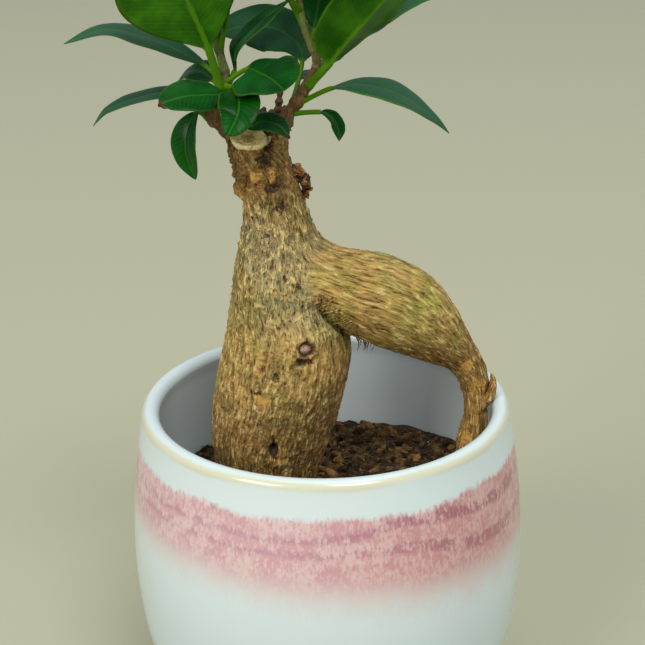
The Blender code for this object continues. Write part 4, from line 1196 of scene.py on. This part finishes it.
def makeLeaf(name, row, paint, seed):
    # stalk and blade in one loft: a ring is an upper and a lower side, round on the stalk, flat on the blade
    shoot, at, midrib, face, half, fold, stalkRadius, skyReflection = row
    start, direction, shootRadius = shootPoint(shoot, at)
    out = np.array(midrib[0], float) - start
    out = unit((out - direction * (out @ direction))[None])[0]
    line = smoothLine([start + out * shootRadius * 0.5, *midrib], 14)
    lengths = lengthsAlong(line)
    stalkLength, bladeLength = lengths[14], lengths[-1] - lengths[14]
    onStalk = np.linspace(0, 0.985, leafLook["stalkRows"]) * stalkLength
    spaced = 1 - (1 - np.linspace(0.004, 1, leafLook["bladeRows"])) ** 1.1
    where = np.concatenate([onStalk, stalkLength + spaced * bladeLength])
    fineLine = readLine(line, np.linspace(0, lengths[-1], 240))
    _, across, up = framesAlong(fineLine, np.array(face, float))
    ways = (fineLine, across, up)
    place, across, up = (readLine(np.column_stack([fineLine, way]), where)[:, 3:] for way in ways)
    place[:, 2] -= leafLook["hooks"].get(name, 0) * ease(where, lengths[-1] * 0.88, lengths[-1] * 1.06)
    share = np.clip((where - stalkLength) / bladeLength, 0, 1)[:, None]
    onBlade = ease(share, 0.0, 0.05)
    rib = stalkRadius * ((1 - share) ** 0.8 * 0.75 + 0.12) * (1 - 0.35 * onBlade)
    rib = rib + 0.25 * stalkRadius * bell(where[:, None], 2)
    wide = np.maximum(halfWidth(share, half, leafLook["outlines"].get(name, leafLook["outline"])), rib)
    wide[-1] *= 0.4
    # places round a ring: t runs over the upper side from one margin to the other, then back under
    turn = np.linspace(0, 2 * np.pi, leafLook["half"] * 4, endpoint=False)[None]
    ramp = np.where(turn <= np.pi, 1 - 2 * turn / np.pi, 2 * turn / np.pi - 3)
    side = np.cos(turn) * (1 - onBlade) + np.sign(ramp) * np.abs(ramp) ** 1.55 * onBlade
    upper, outer = np.sin(turn), np.abs(side)
    tearFrom, tearDepth = leafLook["torn"].get(name, (1.0, 0.0))
    sheetPlace = np.stack([side * 3, share * bladeLength + 0 * side, 0 * side + seed], axis=-1)
    bites = roughNoise(sheetPlace, 1.6, seed, 2)
    tear = ease(share + 0.12 * bites * (tearDepth > 0), tearFrom - 0.03, tearFrom + 0.03)
    tear = tear * onBlade * (tearFrom < 1)
    flatX = side * wide * (1 - tearDepth * tear * ease(bites + 0.6 * outer, 0.1, 0.5))
    # the sheet is thin; a rib hangs below and a shallow groove runs above it
    hang = rib * np.sqrt(np.maximum(1 - (flatX / np.maximum(rib, 0.01)) ** 2, 0))
    sheet = leafLook["sheet"] * (1 - 0.5 * outer**3) * np.sign(upper) * (np.abs(upper) > 1e-6) * onBlade
    groove = -0.16 * onBlade * bell(flatX, 0.55) * (upper > 0)
    above, beneath = sheet + groove + (1 - onBlade) * rib * upper, sheet - hang * (upper < 0)
    # fold up from the midrib, cup, ripple the margins and puff between the veins
    rise = np.tan(np.radians(fold)) * np.abs(flatX)
    waves = ripple(share, seed, side > 0, 9 + seed % 4, 1, (0.0, 1.9)) * 0.03
    waves = (waves + ripple(share, seed, side > 0, 23, 2, (1.0, 0.0)) * 0.01) * wide * outer**2
    cup = -0.12 * wide * outer**3
    quilt = np.sin((share * bladeLength - np.abs(flatX) * 0.55) * 2 * np.pi / 4.5) * bell(outer - 0.5, 0.35)
    lift = (rise + waves + cup + 0.025 * quilt) * onBlade + tear * bites * 1.2
    lift = (np.where(upper >= 0, above, beneath) + lift)[..., None]
    narrow = np.cos(np.radians(fold)) * (1 - 0.018 * (1 + np.sin(share * 9 + seed * 1.7)))
    rings = place[:, None] + unit(across)[:, None] * (flatX * narrow)[..., None] + unit(up)[:, None] * lift
    blade = np.stack([flatX, share * bladeLength + 0 * flatX, 0 * flatX + seed * 20.0], axis=-1)
    ribbed = (upper < 0) * ease(hang / np.maximum(rib, 0.01), 0.0, 0.3) * (1 - 0.6 * share)
    fields = {"blade": blade, "upper": upper > 0, "edge": ease(outer, 0.93, 1.0) * onBlade, "skyReflection": skyReflection,
              "stalk": np.maximum(1 - onBlade, ribbed), "dry": tear}
    addTubes("blade_" + name, rings, paint, ["leaf_" + name], fields)


leafFinish = leafPaint()
for number, (name, row) in enumerate(leaves.items()):
    makeLeaf(name, row, leafFinish, number + 1)
print(len(leaves), "leaves opened")


# Camera, lights and floor

stage = {
    "camera": (-0.0006, -0.4676, 0.3333), "right": (0.99987, -0.0061, -0.0152), "up": (0.0164, 0.3729, 0.9277),
    "forward": (0, 0.9278, -0.3730), "lens": 85, "sensor": 36,
    "reach": 8, "floor": srgb(184, 178, 150), "sky": srgb(205, 220, 226), "skyStrength": 0.62,
    "lights": [  # place, aim, width and height in metres, watts, colour
        ((-2.2, -2.3, 2.15), (0, 0, 0.13), (1.5, 1.5), 56, (1.0, 0.98, 0.94)),
        ((0.7, -1.7, 3.0), (0, 0, 0.12), (1.1, 1.1), 46, (0.97, 0.99, 1.0)),
        ((2.6, -1.2, 1.8), (0, 0, 0.15), (1.8, 2.2), 3, (0.95, 0.98, 1.0)),
        ((0.2, 0.5, 3.6), (0, 0, 0.10), (2.6, 2.2), 30, (0.96, 1.0, 1.0)),
    ],
}


def makeCamera():
    # a camera whose right, up and backward axes are the columns of its turn
    lens = bpy.data.cameras.new("camera")
    lens.lens, lens.sensor_width = stage["lens"], stage["sensor"]
    camera = bpy.data.objects.new("camera", lens)
    turn = Matrix((stage["right"], stage["up"], [-c for c in stage["forward"]])).transposed().to_4x4()
    camera.matrix_world = Matrix.Translation(stage["camera"]) @ turn
    bpy.context.scene.collection.objects.link(camera)
    bpy.context.scene.camera = camera


def makeLights():
    # rectangular lamps that face their aims, under an even sky
    for number, (place, aim, size, watts, colour) in enumerate(stage["lights"]):
        lamp = bpy.data.lights.new(f"soft{number}", "AREA")
        lamp.shape, lamp.size, lamp.size_y = "RECTANGLE", *size
        lamp.energy, lamp.color = watts, colour
        holder = bpy.data.objects.new(lamp.name, lamp)
        away = unit(np.array([place], float) - np.array([aim]))[0]
        side = unit(np.cross((0, 0, 1), away)[None])[0]
        turn = Matrix((side, np.cross(away, side), away)).transposed().to_4x4()
        holder.matrix_world = Matrix.Translation(place) @ turn
        bpy.context.scene.collection.objects.link(holder)
    world = bpy.data.worlds.new("studio")
    world.use_nodes = True
    world.node_tree.nodes["Background"].inputs["Color"].default_value = stage["sky"]
    world.node_tree.nodes["Background"].inputs["Strength"].default_value = stage["skyStrength"]
    bpy.context.scene.world = world
    bpy.context.scene.view_settings.view_transform = "Standard"


def makeFloor():
    # a square of plain paper under the pot
    reach = stage["reach"]
    corners = [(-reach, -reach, 0), (reach, -reach, 0), (reach, reach, 0), (-reach, reach, 0)]
    mesh = bpy.data.meshes.new("floor")
    mesh.from_pydata(corners, [], [(0, 1, 2, 3)])
    floor = bpy.data.objects.new("floor", mesh)
    finish = Paint("floorPaper").finish({"Base Color": stage["floor"], "Roughness": 0.7})
    mesh.materials.append(finish.material)
    bpy.context.scene.collection.objects.link(floor)


makeCamera()
makeLights()
makeFloor()
print("stage set")
